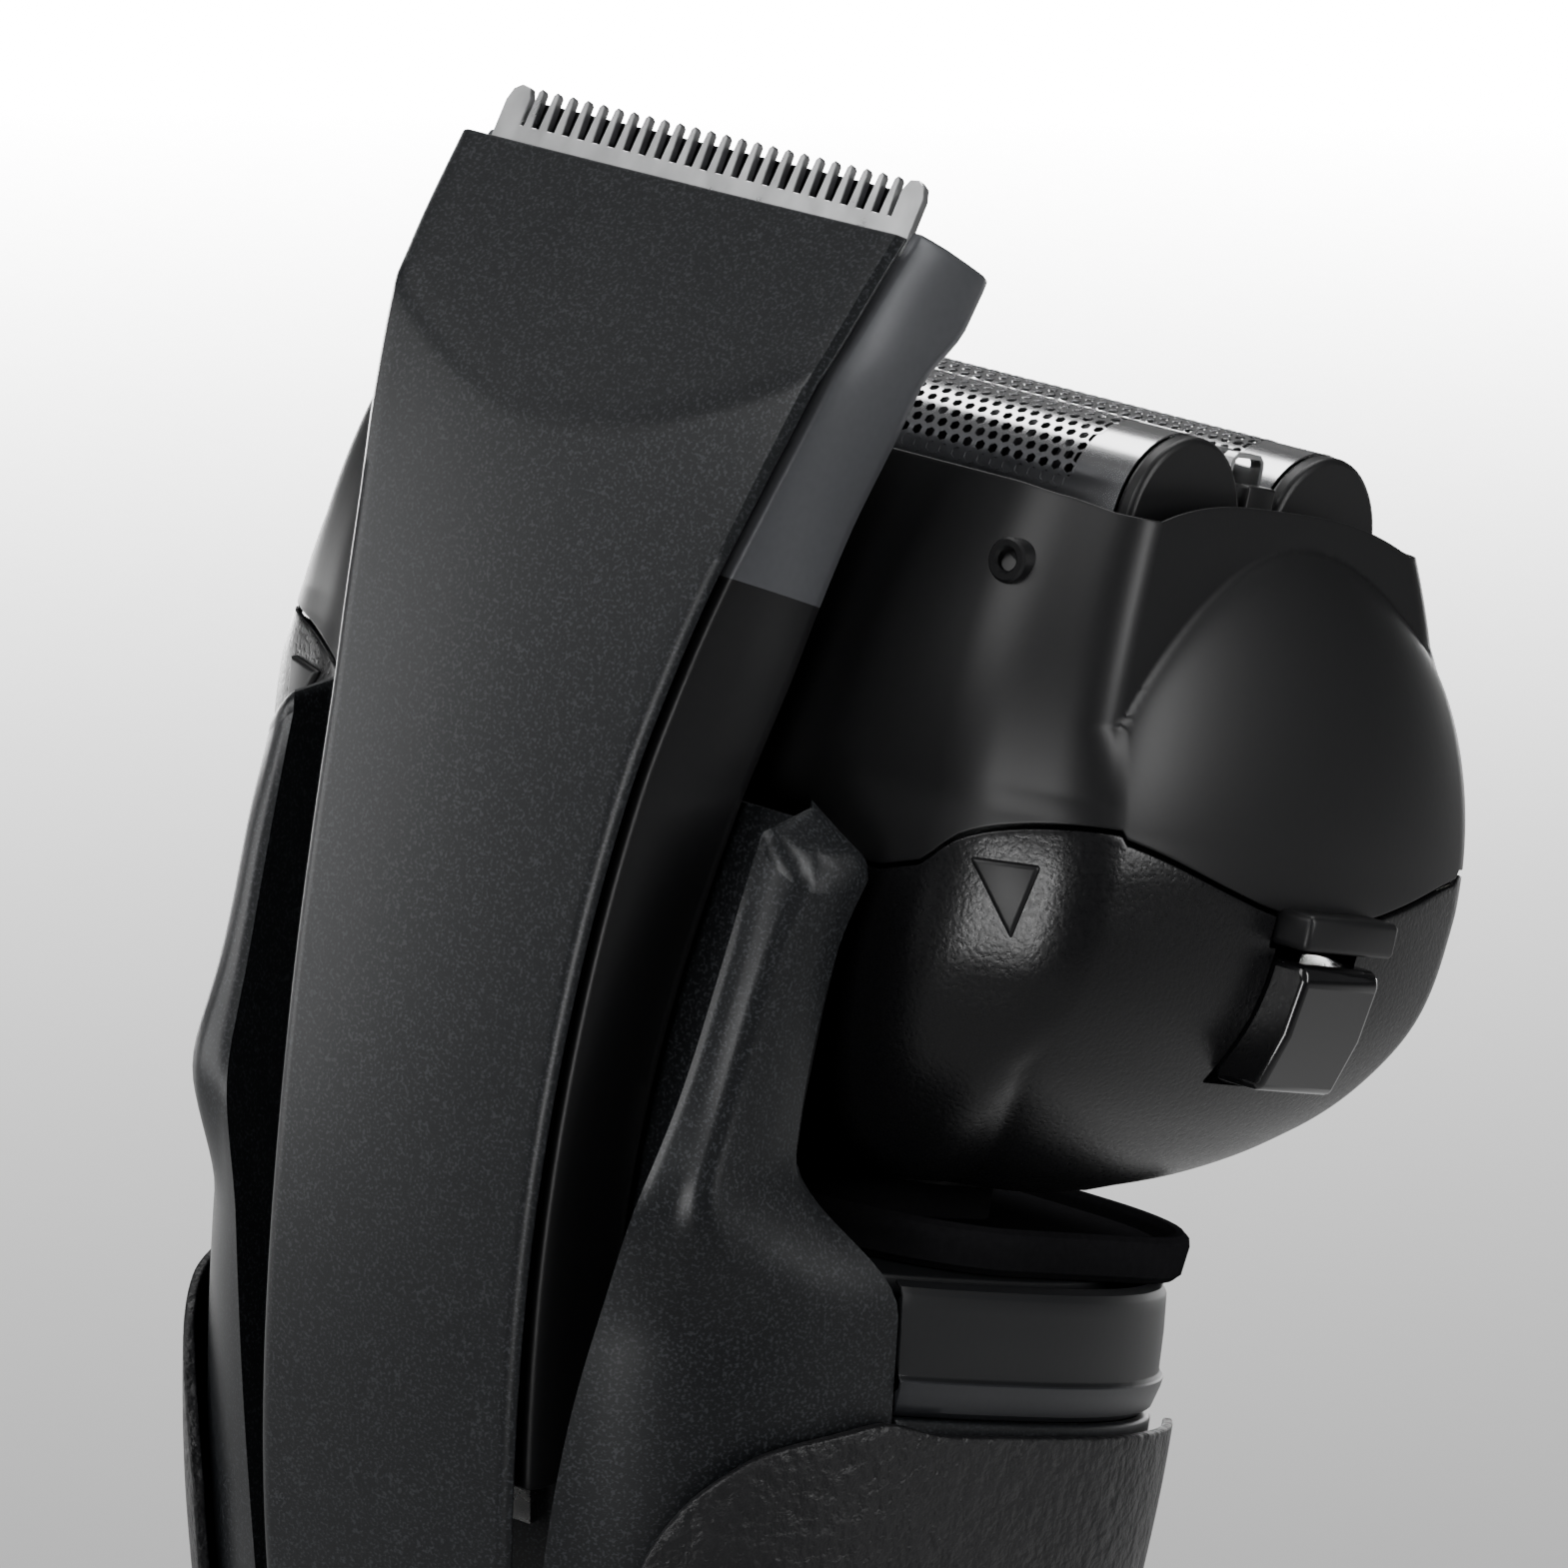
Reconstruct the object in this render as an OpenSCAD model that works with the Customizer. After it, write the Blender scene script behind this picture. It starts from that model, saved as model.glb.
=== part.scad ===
// Electric foil shaver: a leaning, pivoting head on a waisted handle, with the
// long-hair trimmer raised behind the head. Z is up, the power button faces -Y
// and the trimmer faces +Y. The origin is the centre of the flat bottom.

/* [Handle] */
// Half width of the bottom
base_w = 16; // [15:0.5:17]
// Half width just below the collar
neck_w = 23.5; // [23:0.5:24]
// Roundness of the handle's front half, 2 is an ellipse
front_power = 2.5; // [2.3:0.1:2.7]
// Roundness of the handle's back half
back_power = 3; // [2.8:0.1:3.2]
// Wall thickness of the housings
wall = 1.8; // [1.5:0.1:2]

/* [Head] */
// Height of the head's own origin, at its corner seams
head_z = 139; // [138.5:0.5:139.5]
// Distance of the head's own origin in front of the bottom's centre
head_fwd = 10.5; // [10.4:0.1:10.6]
// Forward lean of the head and the collar in degrees
head_lean = 15; // [14.5:0.5:15.5]
// Half width of the head at its corners
head_w = 29.5; // [29:0.25:30]
// Half depth of the head's end faces
head_d = 17.75; // [17.5:0.25:18]
// How far the end domes bulge out
dome_out = 4.5; // [4:0.25:5]
// Radius of the end domes
dome_r = 21.4; // [21:0.2:21.8]

/* [Foils] */
// Radius of the two foil arches
foil_r = 5.5; // [5.3:0.1:5.5]
// Distance of each arch from the middle
foil_y = 6.95; // [6.95:0.05:7]
// Height of the arch centres above the head's origin
foil_z = 16.9; // [16.5:0.1:17.2]
// Half length of the foils
foil_half = 24.2; // [24:0.1:24.2]

/* [Trimmer] */
// Radius of the arc that the cover's back follows
cover_r = 128.8; // [128.6:0.1:129]
// Sliding travel in degrees about the arc's centre
trim_travel = 10.7; // [8:0.1:10.7]
// Number of comb teeth
comb_teeth = 24; // [18:1:28]

/* [Hidden] */
$fn = 48;

// The trimmer's arc: its centre, and the radii of the layers above one another
arc_y = -100;
arc_z = 108;
cover_t = 1.8;
crown = 300;              // x*x/crown is the drop of the crowned cover
shallow_r = 125.4;        // channel floor under the cover's tail
deep_r = 118.6;           // channel floor under the trimmer's frame
rail_t = 0.6;
frame_r0 = 119.5;
frame_r1 = 127;
spine_t = 1;
wing_wall = 1.1;           // wall of the housing above the collar
channel_z = 65;           // lower end of the channel
deep_z = 77;              // lower end of its deep part
wing_z = 144;             // top of the wings beside the channel

// Handle profile: half width and front face by height
waist_w = base_w + 2.8;
half_width = [[0, base_w], [12, base_w + 1.2], [35, waist_w], [60, waist_w + 1.5],
              [80, waist_w + 3], [95, neck_w - 0.3], [104, neck_w], [150, neck_w]];
front_face = [[0, -15], [20, -17], [45, -18.5], [70, -21.5], [85, -24.5],
              [97, -27.2], [110, -29]];
base_back = 15.5;
floor_z = 3;              // the housings stand on the base cap
seam_a = 14;              // section angle of the seam between the housings
seam_step = 1;            // what the front parts stay short of it, in degrees

// Head profile
long_w = 23.3;            // where the chamfered corners end
long_d = 21.25;           // half depth of the long sides
head_mid = -1.75;         // middle of the head's depth
dome_y = -4.6;
dome_z = -4.4;
button_y = -3.4;
top_z = 19;
rim_z = 18;
chin_low = -23.4;
chin = [[-24, 0.51], [-21, 0.70], [-17, 0.84], [-13.5, 0.92], [-9, 0.98], [-3, 1], [0, 1]];
head_wall = 1.6;
seam_gap = 0.15;
collar_top = -28;
collar_low = -36;
collar_band = 2.3;
plate_low = -30;
plate_top = -26.2;        // floor of the neck plate's dish
plate_rim = -25.5;
pivot_y = -2;
pivot_z = -18;
pin_d = 2;
run_fit = 0.06;           // radial clearance of pins and shafts
stroke = 1.2;             // half stroke of the inner cutters
plain = 0.3;              // clearance between moving faces

// ---------- functions ----------
function unit(v) = v / max(norm(v), 1e-9);
function mix(a, b, t) = a + (b - a) * t;
function clamp01(t) = min(max(t, 0), 1);
function smooth(t) = let (c = clamp01(t)) c * c * (3 - 2 * c);
function curved(v, p) = sign(v) * pow(abs(v), p);
function arc_point(r, z) = arc_y + sqrt(r * r - pow(z - arc_z, 2));
function polar(x, r, a) = [x, arc_y + r * cos(a), arc_z + r * sin(a)];

// The handle's back: the arc above the channel's end, a waisted curve below it
function back_face(z) =
  let (s = max(channel_z - z, 0),
       y0 = arc_point(cover_r, max(z, channel_z)),
       slope = (arc_z - channel_z) / (arc_point(cover_r, channel_z) - arc_y),
       k = (base_back - arc_point(cover_r, channel_z) + slope * channel_z)
           / pow(channel_z, 2))
  y0 - slope * s + k * s * s;

// Point of the handle's section at height z; -90 is the front and 90 the back
function section(z, a, out = 0) =
  let (w = lookup(z, half_width) + out,
       rear = sin(a) > 0,
       p = 2 / (rear ? back_power : front_power),
       d = (rear ? back_face(z) : -lookup(z, front_face)) + out)
  [w * curved(cos(a), p), d * curved(sin(a), p)];
function angle_at(x, z) = acos(pow(x / lookup(z, half_width), back_power / 2));

// Height of the leaning plane under the collar above a point at depth y
function collar_plane(y, h = collar_low) =
  head_z + h / cos(head_lean) + tan(head_lean) * (y + head_fwd);

// A row of points of the handle's wall, from the base (0) to the collar (1)
function wall_point(u, a, out = 0, z0 = floor_z, drop = 0) =
  let (guess = section(mix(z0, 104, u), a, out),
       z1 = mix(z0, collar_plane(guess.y) - drop, u),
       p = section(z1, a, out))
  [p.x, p.y, mix(z0, collar_plane(p.y) - drop, u)];

// Path moved inwards by t; a path runs counterclockwise seen from above
function inset(path, t, closed = false) =
  let (n = len(path))
  [for (i = [0 : n - 1])
    let (b = [path[i].x, path[i].y],
         pa = path[(i + n - 1) % n], pc = path[(i + 1) % n],
         before = (i > 0 || closed) ? unit(b - [pa.x, pa.y]) : unit([pc.x, pc.y] - b),
         after = (i < n - 1 || closed) ? unit([pc.x, pc.y] - b) : before,
         n1 = [before.y, -before.x], n2 = [after.y, -after.x],
         q = b - t * (n1 + n2) / max(1 + n1 * n2, 0.6))
    [q.x, q.y, path[i].z]];

// Rounded rectangle, counterclockwise, with n steps in each corner
function round_rect(w, d, r, n = 6) =
  [for (q = [0 : 3]) for (i = [0 : n])
    let (a = q * 90 + 90 * i / n,
         cx = (q == 0 || q == 3) ? w - r : r - w,
         cy = (q < 2) ? d - r : r - d)
    [cx + r * cos(a), cy + r * sin(a)]];

// The head's outline: dense end faces, chamfered corners and long sides
end_y = [-1, -0.76, -0.54, -0.36, -0.18, 0, 0.18, 0.36, 0.54, 0.76, 1];
head_outline = concat(
  [for (t = end_y) [head_w, head_mid + head_d * t]],
  [for (i = [0 : 12]) [long_w * (1 - i / 6), head_mid + long_d]],
  [for (t = end_y) [-head_w, head_mid - head_d * t]],
  [for (i = [0 : 12]) [-long_w * (1 - i / 6), head_mid - long_d]]);
function is_end(p) = abs(p.x) > head_w - 0.01;

// Height of the seam between the head's base and its foil frame
function seam(p) = is_end(p)
  ? lookup(abs(p.y - button_y), [[4.5, -3.3], [19.4, 0]])
  : lookup(abs(p.x), [[19.7, -5], [long_w, -2], [head_w, 0]]);

// Point of the head's surface on the outline at height z
function head_point(p, z) =
  let (up = max(z, 0) / top_z, s = z < 0 ? lookup(z, chin) : 1,
       bulge = is_end(p)
         ? dome_out * sqrt(max(0, 1 - (pow(p.y - dome_y, 2) + pow(z - dome_z, 2))
                                      / pow(dome_r, 2)))
         : 0)
  [p.x * s * (1 - 0.07 * up * up) + sign(p.x) * bulge,
   head_mid * (1 - up) + (p.y - head_mid) * s * (1 - 0.25 * up * up), z];

// ---------- building blocks ----------
// Closed curved plate between two grids of points
module plate(outer, inner, closed = false) {
  rows = len(outer);
  cols = len(outer[0]);
  far = rows * cols;
  top = (rows - 1) * cols;
  edge = cols - 1;
  last = closed ? cols - 1 : cols - 2;
  skin = [for (j = [0 : rows - 2], i = [0 : last])
    each let (a = j * cols + i, b = j * cols + (i + 1) % cols)
      [[a, a + cols, b + cols], [a, b + cols, b],
       [far + a, far + b + cols, far + a + cols], [far + a, far + b, far + b + cols]]];
  ends = [for (i = [0 : last])
    each let (k = (i + 1) % cols)
      [[i, k, far + k], [i, far + k, far + i],
       [top + i, far + top + i, far + top + k], [top + i, far + top + k, top + k]]];
  sides = closed ? [] : [for (j = [0 : rows - 2])
    each let (a = j * cols, b = j * cols + edge)
      [[far + a, far + a + cols, a + cols], [far + a, a + cols, a],
       [b, b + cols, far + b + cols], [b, far + b + cols, far + b]]];
  polyhedron(concat([for (r = outer) each r], [for (r = inner) each r]),
             concat(skin, ends, sides), convexity = 10);
}

// Solid between rings of points with flat convex ends
module loft(rings) {
  n = len(rings[0]);
  m = len(rings);
  polyhedron([for (r = rings) each r],
    concat([[for (i = [0 : n - 1]) i]],
           [[for (i = [n - 1 : -1 : 0]) (m - 1) * n + i]],
           [for (j = [0 : m - 2], i = [0 : n - 1])
             each let (a = j * n + i, b = j * n + (i + 1) % n)
               [[a, a + n, b + n], [a, b + n, b]]]), convexity = 6);
}

module in_head() translate([0, -head_fwd, head_z]) rotate([head_lean, 0, 0]) children();
module on_arc() translate([0, arc_y, arc_z]) rotate([90, 0, 90]) children();
module both_sides() {
  children();
  mirror([1, 0, 0]) children();
}
module along_x(h, d, c = true) rotate([0, 90, 0]) cylinder(h = h, d = d, center = c);
module along_y(h, d, c = true) rotate([90, 0, 0]) cylinder(h = h, d = d, center = c);
module block(x0, x1, y0, y1, z0, z1) translate([x0, y0, z0]) cube([x1 - x0, y1 - y0, z1 - z0]);

// ---------- handle ----------
button_z = 78;
button_slope = 11.3;
button_d = 14;
button_out = 24.6;
bezel_d = 17.4;
panel_t = 1.5;
skin_gap = 0.5;           // between a housing and what is laid over it
panel_a = 52;
wall_rows = [0, 0.1, 0.22, 0.36, 0.5, 0.62, 0.74, 0.86, 0.95, 1];
front_cols = 24;

module at_button()
  translate([0, -button_out, button_z]) rotate([90 + button_slope, 0, 0]) children();

module front_housing() {
  ends = seam_a - seam_step;
  function angle(i) = mix(180 - ends, 360 + ends, i / front_cols);
  outer = [for (u = wall_rows) [for (i = [0 : front_cols]) wall_point(u, angle(i))]];
  color("dimgray") difference() {
    plate(outer, [for (r = outer) inset(r, wall)]);
    at_button() cylinder(h = 20, d = bezel_d + 2 * plain, center = true);
  }
}

// Channel edge, wing edge and wing back by height
function channel_edge(z) = lookup(z, [[64, 11.5], [95, 12], [108, 13.2], [125, 15.8], [144, 17.2]]);
function wing_edge(z) =
  lookup(z, [[112, 21], [116, 20.2], [120, 19.7], [128, 19.8], [138, 20.4], [144, 20.8]]);
function wing_back(z) =
  lookup(z, [[115, 27.6], [121, 26.3], [128, 23.6], [135, 21.4], [142, 19.2], [144, 18.4]]);
function floor_y(z) = arc_point(z < deep_z ? shallow_r : deep_r, z);

// Half of the rear housing's path, from the seam to the channel's middle
function rear_half(z) =
  let (xe = channel_edge(z), g = smooth((z - 115.6) / 8),
       ae = angle_at(xe, z),
       ys = arc_point(deep_r - wing_wall, z) + 0.1, xo = wing_edge(z), yb = wing_back(z),
       low = [for (k = [0 : 6]) section(z, mix(seam_a, ae, k / 6))],
       high = [[xo - 0.4, ys], [xo, ys + 1], [xo, mix(ys, yb, 0.5)], [xo - 0.4, yb - 1.6],
               [xo - 1.1, yb - 0.5], [xe + 0.8, yb], [xe + 0.2, yb - 0.15]],
       open = z > channel_z,
       fl = floor_y(z))
  concat([for (k = [0 : 6]) mix(low[k], high[k], g)],
         open ? [[xe - 0.1, fl + 0.4], [xe - 0.5, fl], [xe * 0.5, fl], [0, fl]]
              : [for (x = [xe - 0.1, xe - 0.5, xe * 0.5, 0])
                  [x, section(z, angle_at(x, z)).y]]);
function mirrored(half) =
  concat(half, [for (i = [len(half) - 2 : -1 : 0]) [-half[i].x, half[i].y]]);
function wing_top(x) = wing_z - 0.9 * max(abs(x) - 17.2, 0);
function wing_inset(z) = z < 110 ? wall : z < wing_z ? wing_wall : 1.35;

module rear_housing() {
  levels = [floor_z, 12, 25, 38, 52, 64, channel_z + 0.6, 71, deep_z - 1, deep_z + 0.6,
            87, 95, 102, 108, 112, 115.6, 118, 120, 122, 124, 129, 134.5, 138.8, wing_z];
  outer = [for (z = levels) let (row = mirrored(rear_half(z)))
    [for (p = row) [p.x, p.y, z < wing_z ? z : wing_top(p.x)]]];
  color("darkslategray")
    plate(outer, [for (j = [0 : len(levels) - 1]) inset(outer[j], wing_inset(levels[j]))]);
}

// Closes the spine towards the head and caps the wings
module spine_plate() {
  levels = [112.4, 116, 120, 126, 132, 137, 140.5];
  lid = wing_wall + 0.3;
  spread = [for (i = [0 : 10]) i / 5 - 1];
  function front(z, t) = [t * (wing_edge(z) - lid), arc_point(deep_r - wing_wall - 0.15, z) - spine_t, z];
  function rear(z, t) = front(z, t) + [0, spine_t, 0];
  color("black") plate([for (z = levels) [for (t = spread) front(z, t)]],
                       [for (z = levels) [for (t = spread) rear(z, t)]]);
}

// The shoulder's wall carries on from the front housing and ends at the rear one
collar_mid = -6.5;
collar_t = 2;
function collar_row(h, out) =
  let (ends = seam_a - seam_step)
  [for (i = [0 : front_cols])
    let (a = mix(180 - ends, 360 + ends, i / front_cols),
         guess = section(104, a, out), p = section(collar_plane(guess.y, h), a, out))
    [p.x, p.y, collar_plane(p.y, h)]];
module shoulder_collar() {
  outer = [collar_row(collar_low + 0.1, -0.5), collar_row(collar_low + collar_band, 0.4),
           collar_row(collar_top - 0.8, 0), collar_row(collar_top, -0.7)];
  color("gray") plate(outer, [for (r = outer) inset(r, collar_t)]);
}

function seen_in_head(p) =
  [p.x, (p.y + head_fwd) * cos(head_lean) + (p.z - head_z) * sin(head_lean)];

// Flat deck inside the shoulder, around the neck
module shoulder_deck() {
  rim = inset(collar_row(collar_top, -0.7), collar_t + 0.35);
  back = [[19.6, 16], [17.6, 18.8]];
  outline = concat([for (p = rim) seen_in_head(p)], back, [for (i = [1, 0]) [-back[i].x, back[i].y]]);
  color("dimgray") in_head() translate([0, 0, collar_top - 1.3]) difference() {
    linear_extrude(1.2) polygon(outline);
    translate([0, collar_mid + 1.2, -1]) linear_extrude(4) polygon(round_rect(17.7, 14.3, 9, 8));
  }
}

module neck_plate() {
  color("black") in_head() difference() {
    union() {
      translate([0, collar_mid, collar_top + 0.2])
        linear_extrude(plate_rim - collar_top - 0.2) polygon(round_rect(19.6, 17.2, 11, 8));
      translate([0, collar_mid + 1.2, plate_low])
        linear_extrude(plate_top - plate_low) polygon(round_rect(17.6, 14.2, 9, 8));
    }
    translate([0, collar_mid + 1, plate_top])
      linear_extrude(4) polygon(round_rect(17.8, 15.6, 9, 8));
    translate([0, pivot_y, plate_low - 1]) cylinder(h = 6, d = 12 + 2 * run_fit);
  }
}

module neck_bearing() {
  color("gold") in_head() difference() {
    translate([0, pivot_y, plate_low - 3]) cylinder(h = 7, d = 12);
    translate([0, pivot_y, plate_low - 4]) cylinder(h = 10, d = 8 + 2 * run_fit);
  }
}

// Side grips: under the collar at the side, and an arc that sweeps down at the back
grip_t = 1.3;
grip_low = 6;
grip_a = [-44, -36, -28, -20, -12, -4, 4, 12, 20, 28, 34, 40, 45, 50, 54, 58];
grip_arc = [[15, 108], [34, 107.4], [42, 106], [48, 104.2], [54, 101], [58, 96.5]];
grip_rows = [0, 0.12, 0.28, 0.45, 0.6, 0.74, 0.86, 0.94, 1];
function grip_top(a) = a > 15 ? lookup(a, grip_arc) : collar_plane(section(100, a).y) - 0.5;
module grip() {
  function row(out) = [for (u = grip_rows) [for (a = grip_a)
    let (z = mix(grip_low, grip_top(a), u), p = section(z, a, out)) [p.x, p.y, z]]];
  plate(row(grip_t), row(skin_gap));
}
module grip_right() color("black") grip();
module grip_left() color("black") mirror([1, 0, 0]) grip();

module front_panel() {
  cols = 10;
  rows = [0, 0.15, 0.3, 0.45, 0.6, 0.75, 0.9, 1];
  function row(out) = [for (u = rows) [for (i = [0 : cols])
    wall_point(u, mix(panel_a - 180, -panel_a, i / cols), out, 9, 5)]];
  color("midnightblue") difference() {
    plate(row(panel_t), row(skin_gap));
    at_button() cylinder(h = 20, d = bezel_d + 2 * plain, center = true);
  }
}

module button_bezel() {
  color("silver") at_button() translate([0, 0, -3.4]) difference() {
    cylinder(h = 3.8, d = bezel_d);
    translate([0, 0, -1]) cylinder(h = 6, d = button_d + 2 * plain);
  }
}

module power_button() {
  color("lightgray") at_button() {
    translate([0, 0, -3]) cylinder(h = 3, d = button_d);
    cylinder(h = 0.5, d1 = button_d, d2 = button_d - 1.2);
  }
}

socket_w = 10;
socket_d = 6;
socket_deep = 9;
module base_cap() {
  ring = [for (i = [0 : 47]) section(floor_z, i * 7.5)];
  bottom = [for (p = ring) [p.x * 0.96, p.y * 0.96]];
  color("black") difference() {
    union() {
      linear_extrude(1) polygon(bottom);
      translate([0, 0, 1]) linear_extrude(floor_z - 1.1) polygon(ring);
    }
    block(-socket_w / 2 - 1.2, socket_w / 2 + 1.2, -socket_d / 2 - 1.2, socket_d / 2 + 1.2, -1, 5);
  }
}

module charge_socket() {
  color("darkgray") difference() {
    block(-socket_w / 2 - 1.2, socket_w / 2 + 1.2, -socket_d / 2 - 1.2, socket_d / 2 + 1.2,
          0.2, socket_deep + 1.2);
    block(-socket_w / 2, socket_w / 2, -socket_d / 2, socket_d / 2, -1, socket_deep);
    both_sides() translate([2.6, 0, socket_deep - 1]) cylinder(h = 4, d = 1.6);
  }
}
module charge_pins() {
  color("gold") both_sides() translate([2.6, 0, socket_deep - 4]) cylinder(h = 6.5, d = 1.6);
}

cell_d = 17;
cell_z = 14;
cell_h = 50;
cell_y = -2;
module battery_cell() {
  color("green") translate([0, cell_y, cell_z]) {
    cylinder(h = cell_h, d = cell_d);
    translate([0, 0, cell_h]) cylinder(h = 1.2, d = 6);
  }
}
module battery_cradle() {
  color("ivory") difference() {
    block(-10.5, 10.5, cell_y - 6, cell_y + 6, cell_z - 2, cell_z + cell_h - 4);
    translate([0, cell_y, cell_z]) cylinder(h = cell_h + 2, d = cell_d + 0.1);
  }
}
board_y = -12.2;
module circuit_board() {
  color("darkgreen") {
    block(-9, 9, board_y, board_y + 1.2, 14, 84);
    block(-7, 5, board_y + 1.2, board_y + 2.6, 66, 78);
    block(-4, 4, board_y + 1.2, board_y + 3.2, 79, 82);
  }
}
module display_module() {
  color("darkblue") block(-7, 7, board_y - 1.6, board_y, 30, 56);
}
module housing_screws() {
  color("silver") for (s = [-1, 1], z = [16, 60])
    translate([s * 12.3, 1.5, z]) {
      along_y(8, 2);
      translate([0, 4.6, 0]) along_y(1.2, 3.2);
    }
}

// ---------- trimmer ----------
cover_low = -8.1;         // angles on the arc, in degrees
cover_high = 28.2;
trim_low = -2.2;
trim_high = 31.2;
function cover_half(a) = lookup(a, [[cover_low, 8.6], [-6.5, 9.4], [5, 9.7], [11.7, 10.35],
  [16.6, 10.9], [19.1, 12], [22, 12.7], [24.5, 13.6], [28, 15.4], [32, 16.3]]);
function cover_point(a, t, r) =
  let (h = cover_half(a), x = t * h) polar(x, r + (h * h - x * x) / crown, a);
function lean(a) = max(a - cover_high, 0) * 0.4;

module trimmer_cover() {
  levels = [cover_low, -6.5, -3, 1, 5, 9, 13, 16.6, 19.1, 22, 24.5, 26.5, cover_high, 30.2, 32];
  spread = [for (i = [0 : 10]) 1 - i / 5];
  outer = [for (a = levels) [for (t = spread) cover_point(a, t, cover_r - lean(a))]];
  inner = [for (a = levels) [for (t = spread) cover_point(a, t, cover_r - cover_t - lean(a))]];
  color("dimgray") plate(outer, inner);
}

module trimmer_frame() {
  levels = [trim_low, 2, 5.6, 9, 13, 17, 21, 25, 28.5, trim_high];
  flares = [[-3, 0.7], [8, 1.4], [16, 1.8], [22, 1.6], [25, 0.9], [32, 0.6]];
  function ring(a) = let (h = cover_half(a), flare = lookup(a, flares), top = frame_r1 - lean(a) - 0.4)
    [polar(h - 0.3, top, a), polar(h * 0.5, top, a), polar(-h * 0.5, top, a), polar(0.3 - h, top, a),
     polar(-h - flare * 0.6, frame_r0 + 4, a), polar(-h - flare, frame_r0 + 1, a),
     polar(0.6 - h - flare, frame_r0, a),
     polar(h + flare - 0.6, frame_r0, a), polar(h + flare, frame_r0 + 1, a),
     polar(h + flare * 0.6, frame_r0 + 4, a)];
  color("gray") loft([for (a = levels) [for (i = [9 : -1 : 0]) ring(a)[i]]]);
}

// The comb stands on the frame's top, leaning back like the cover's top facet
comb_half = 15.4;
comb_r = 123.6;
comb_base = 3.1;          // of which the cover hides the lower half
tooth_h = 2.4;
module at_comb() on_arc() rotate([0, 0, trim_high]) translate([comb_r, 0, 0]) rotate([0, 90, 0]) children();
module comb_outline(n, half, base_h, tall, share) {
  pitch = 2 * half / n;
  polygon(concat([[-half, 0]],
    [for (i = [0 : n - 1]) let (x = -half + i * pitch, gap = pitch * (1 - share))
      each [[x, base_h + tall], [x + pitch - gap, base_h + tall],
            [x + pitch - gap, base_h], [x + pitch, base_h]]],
    [[half, 0]]));
}
module trimmer_comb() {
  color("silver") at_comb() translate([0, 0.1, 1]) linear_extrude(0.7)
    comb_outline(comb_teeth, comb_half, comb_base, tooth_h, 0.55);
}
module trimmer_cutter() {
  color("gray") at_comb() translate([0, 0.4, 0]) linear_extrude(0.7)
    comb_outline(20, comb_half - 1.6, comb_base, tooth_h - 0.9, 0.5);
}
module trimmer_screws() {
  color("silver") on_arc() for (s = [-1, 1])
    rotate([0, 0, 24]) translate([frame_r0 - 0.36, 0, s * 7]) rotate([0, 90, 0])
      cylinder(h = 0.19, d = 3);
}
module slide_rail() {
  color("silver") on_arc() rotate([0, 0, -5]) rotate_extrude(angle = trim_travel + 6.3, $fn = 360)
    translate([deep_r, -3]) square([rail_t, 6]);
}

// ---------- neck and pivots, in the head's frame ----------
module neck_yoke() {
  color("darkgray") in_head() translate([0, pivot_y, 0]) {
    difference() {
      union() {
        translate([0, 0, plate_low - 3.6]) cylinder(h = 3.6 - 0.6 + 8.2, d = 8);
        translate([0, 0, plate_low - 5]) cylinder(h = 1.9, d = 11);
        block(-7.6, 7.6, -3, 3, plate_top + 1.2, plate_top + 3.4);
        both_sides() block(5.6, 7.6, -3, 3, plate_top + 3.4, pivot_z + 2.6);
      }
      translate([0, 0, pivot_z]) along_x(30, pin_d + 2 * run_fit);
    }
  }
}
module gimbal_ring() {
  color("silver") in_head() translate([0, pivot_y, pivot_z]) difference() {
    block(-5, 5, -5, 5, -2, 2);
    block(-2.6, 2.6, -2.6, 2.6, -3, 3);
    both_sides() translate([4, 0, 0]) along_x(6, pin_d);
    for (s = [-1, 1]) translate([0, s * 4, 0]) along_y(6, pin_d);
  }
}
module gimbal_pins() {
  color("silver") in_head() translate([0, pivot_y, pivot_z]) {
    both_sides() translate([2.6, 0, 0]) along_x(5.2, pin_d, false);
    for (s = [-1, 1]) translate([0, s * 5.2, 0]) along_y(5.2, pin_d);
  }
}
module pivot_block() {
  color("gray") in_head() translate([0, pivot_y, 0]) difference() {
    union() {
      block(-9, 9, -8.4, 8.4, pivot_z + 4.2, pivot_z + 5.6);
      for (s = [-1, 1]) block(-3, 3, min(s * 5.6, s * 7.6), max(s * 5.6, s * 7.6),
                              pivot_z - 2.4, pivot_z + 4.2);
    }
    translate([0, 0, pivot_z]) along_y(30, pin_d + 2 * run_fit);
  }
}

// ---------- head ----------
base_rows = [0, 0.12, 0.28, 0.45, 0.62, 0.8, 0.92, 1];
button_half = 3.8;
bar_half = 4.5;
module head_base() {
  outer = [for (u = base_rows) [for (p = head_outline)
    head_point(p, mix(chin_low, seam(p) - seam_gap, u))]];
  color("black") in_head() difference() {
    plate(outer, [for (r = outer) inset(r, head_wall, true)], closed = true);
    both_sides() block(26, 40, button_y - button_half - plain, button_y + button_half + plain, -13.9, 2);
    both_sides() block(26, 40, button_y - bar_half - plain, button_y + bar_half + plain, -5.3, 2);
    marks(run_fit);
  }
}
module marks(grow) {
  for (s = [-1, 1], t = [-1, 1])
    translate([s * 25.4, head_mid + t * 20.4, -7])
      rotate([90, 0, t > 0 ? 180 - s * 29.4 : s * 29.4])
      linear_extrude(0.7 + 2 * grow, center = true) offset(delta = grow)
        polygon([[0, 0], [2, 4.2], [-2, 4.2]]);
}
module unlock_marks() color("gray") in_head() marks(0);
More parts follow.
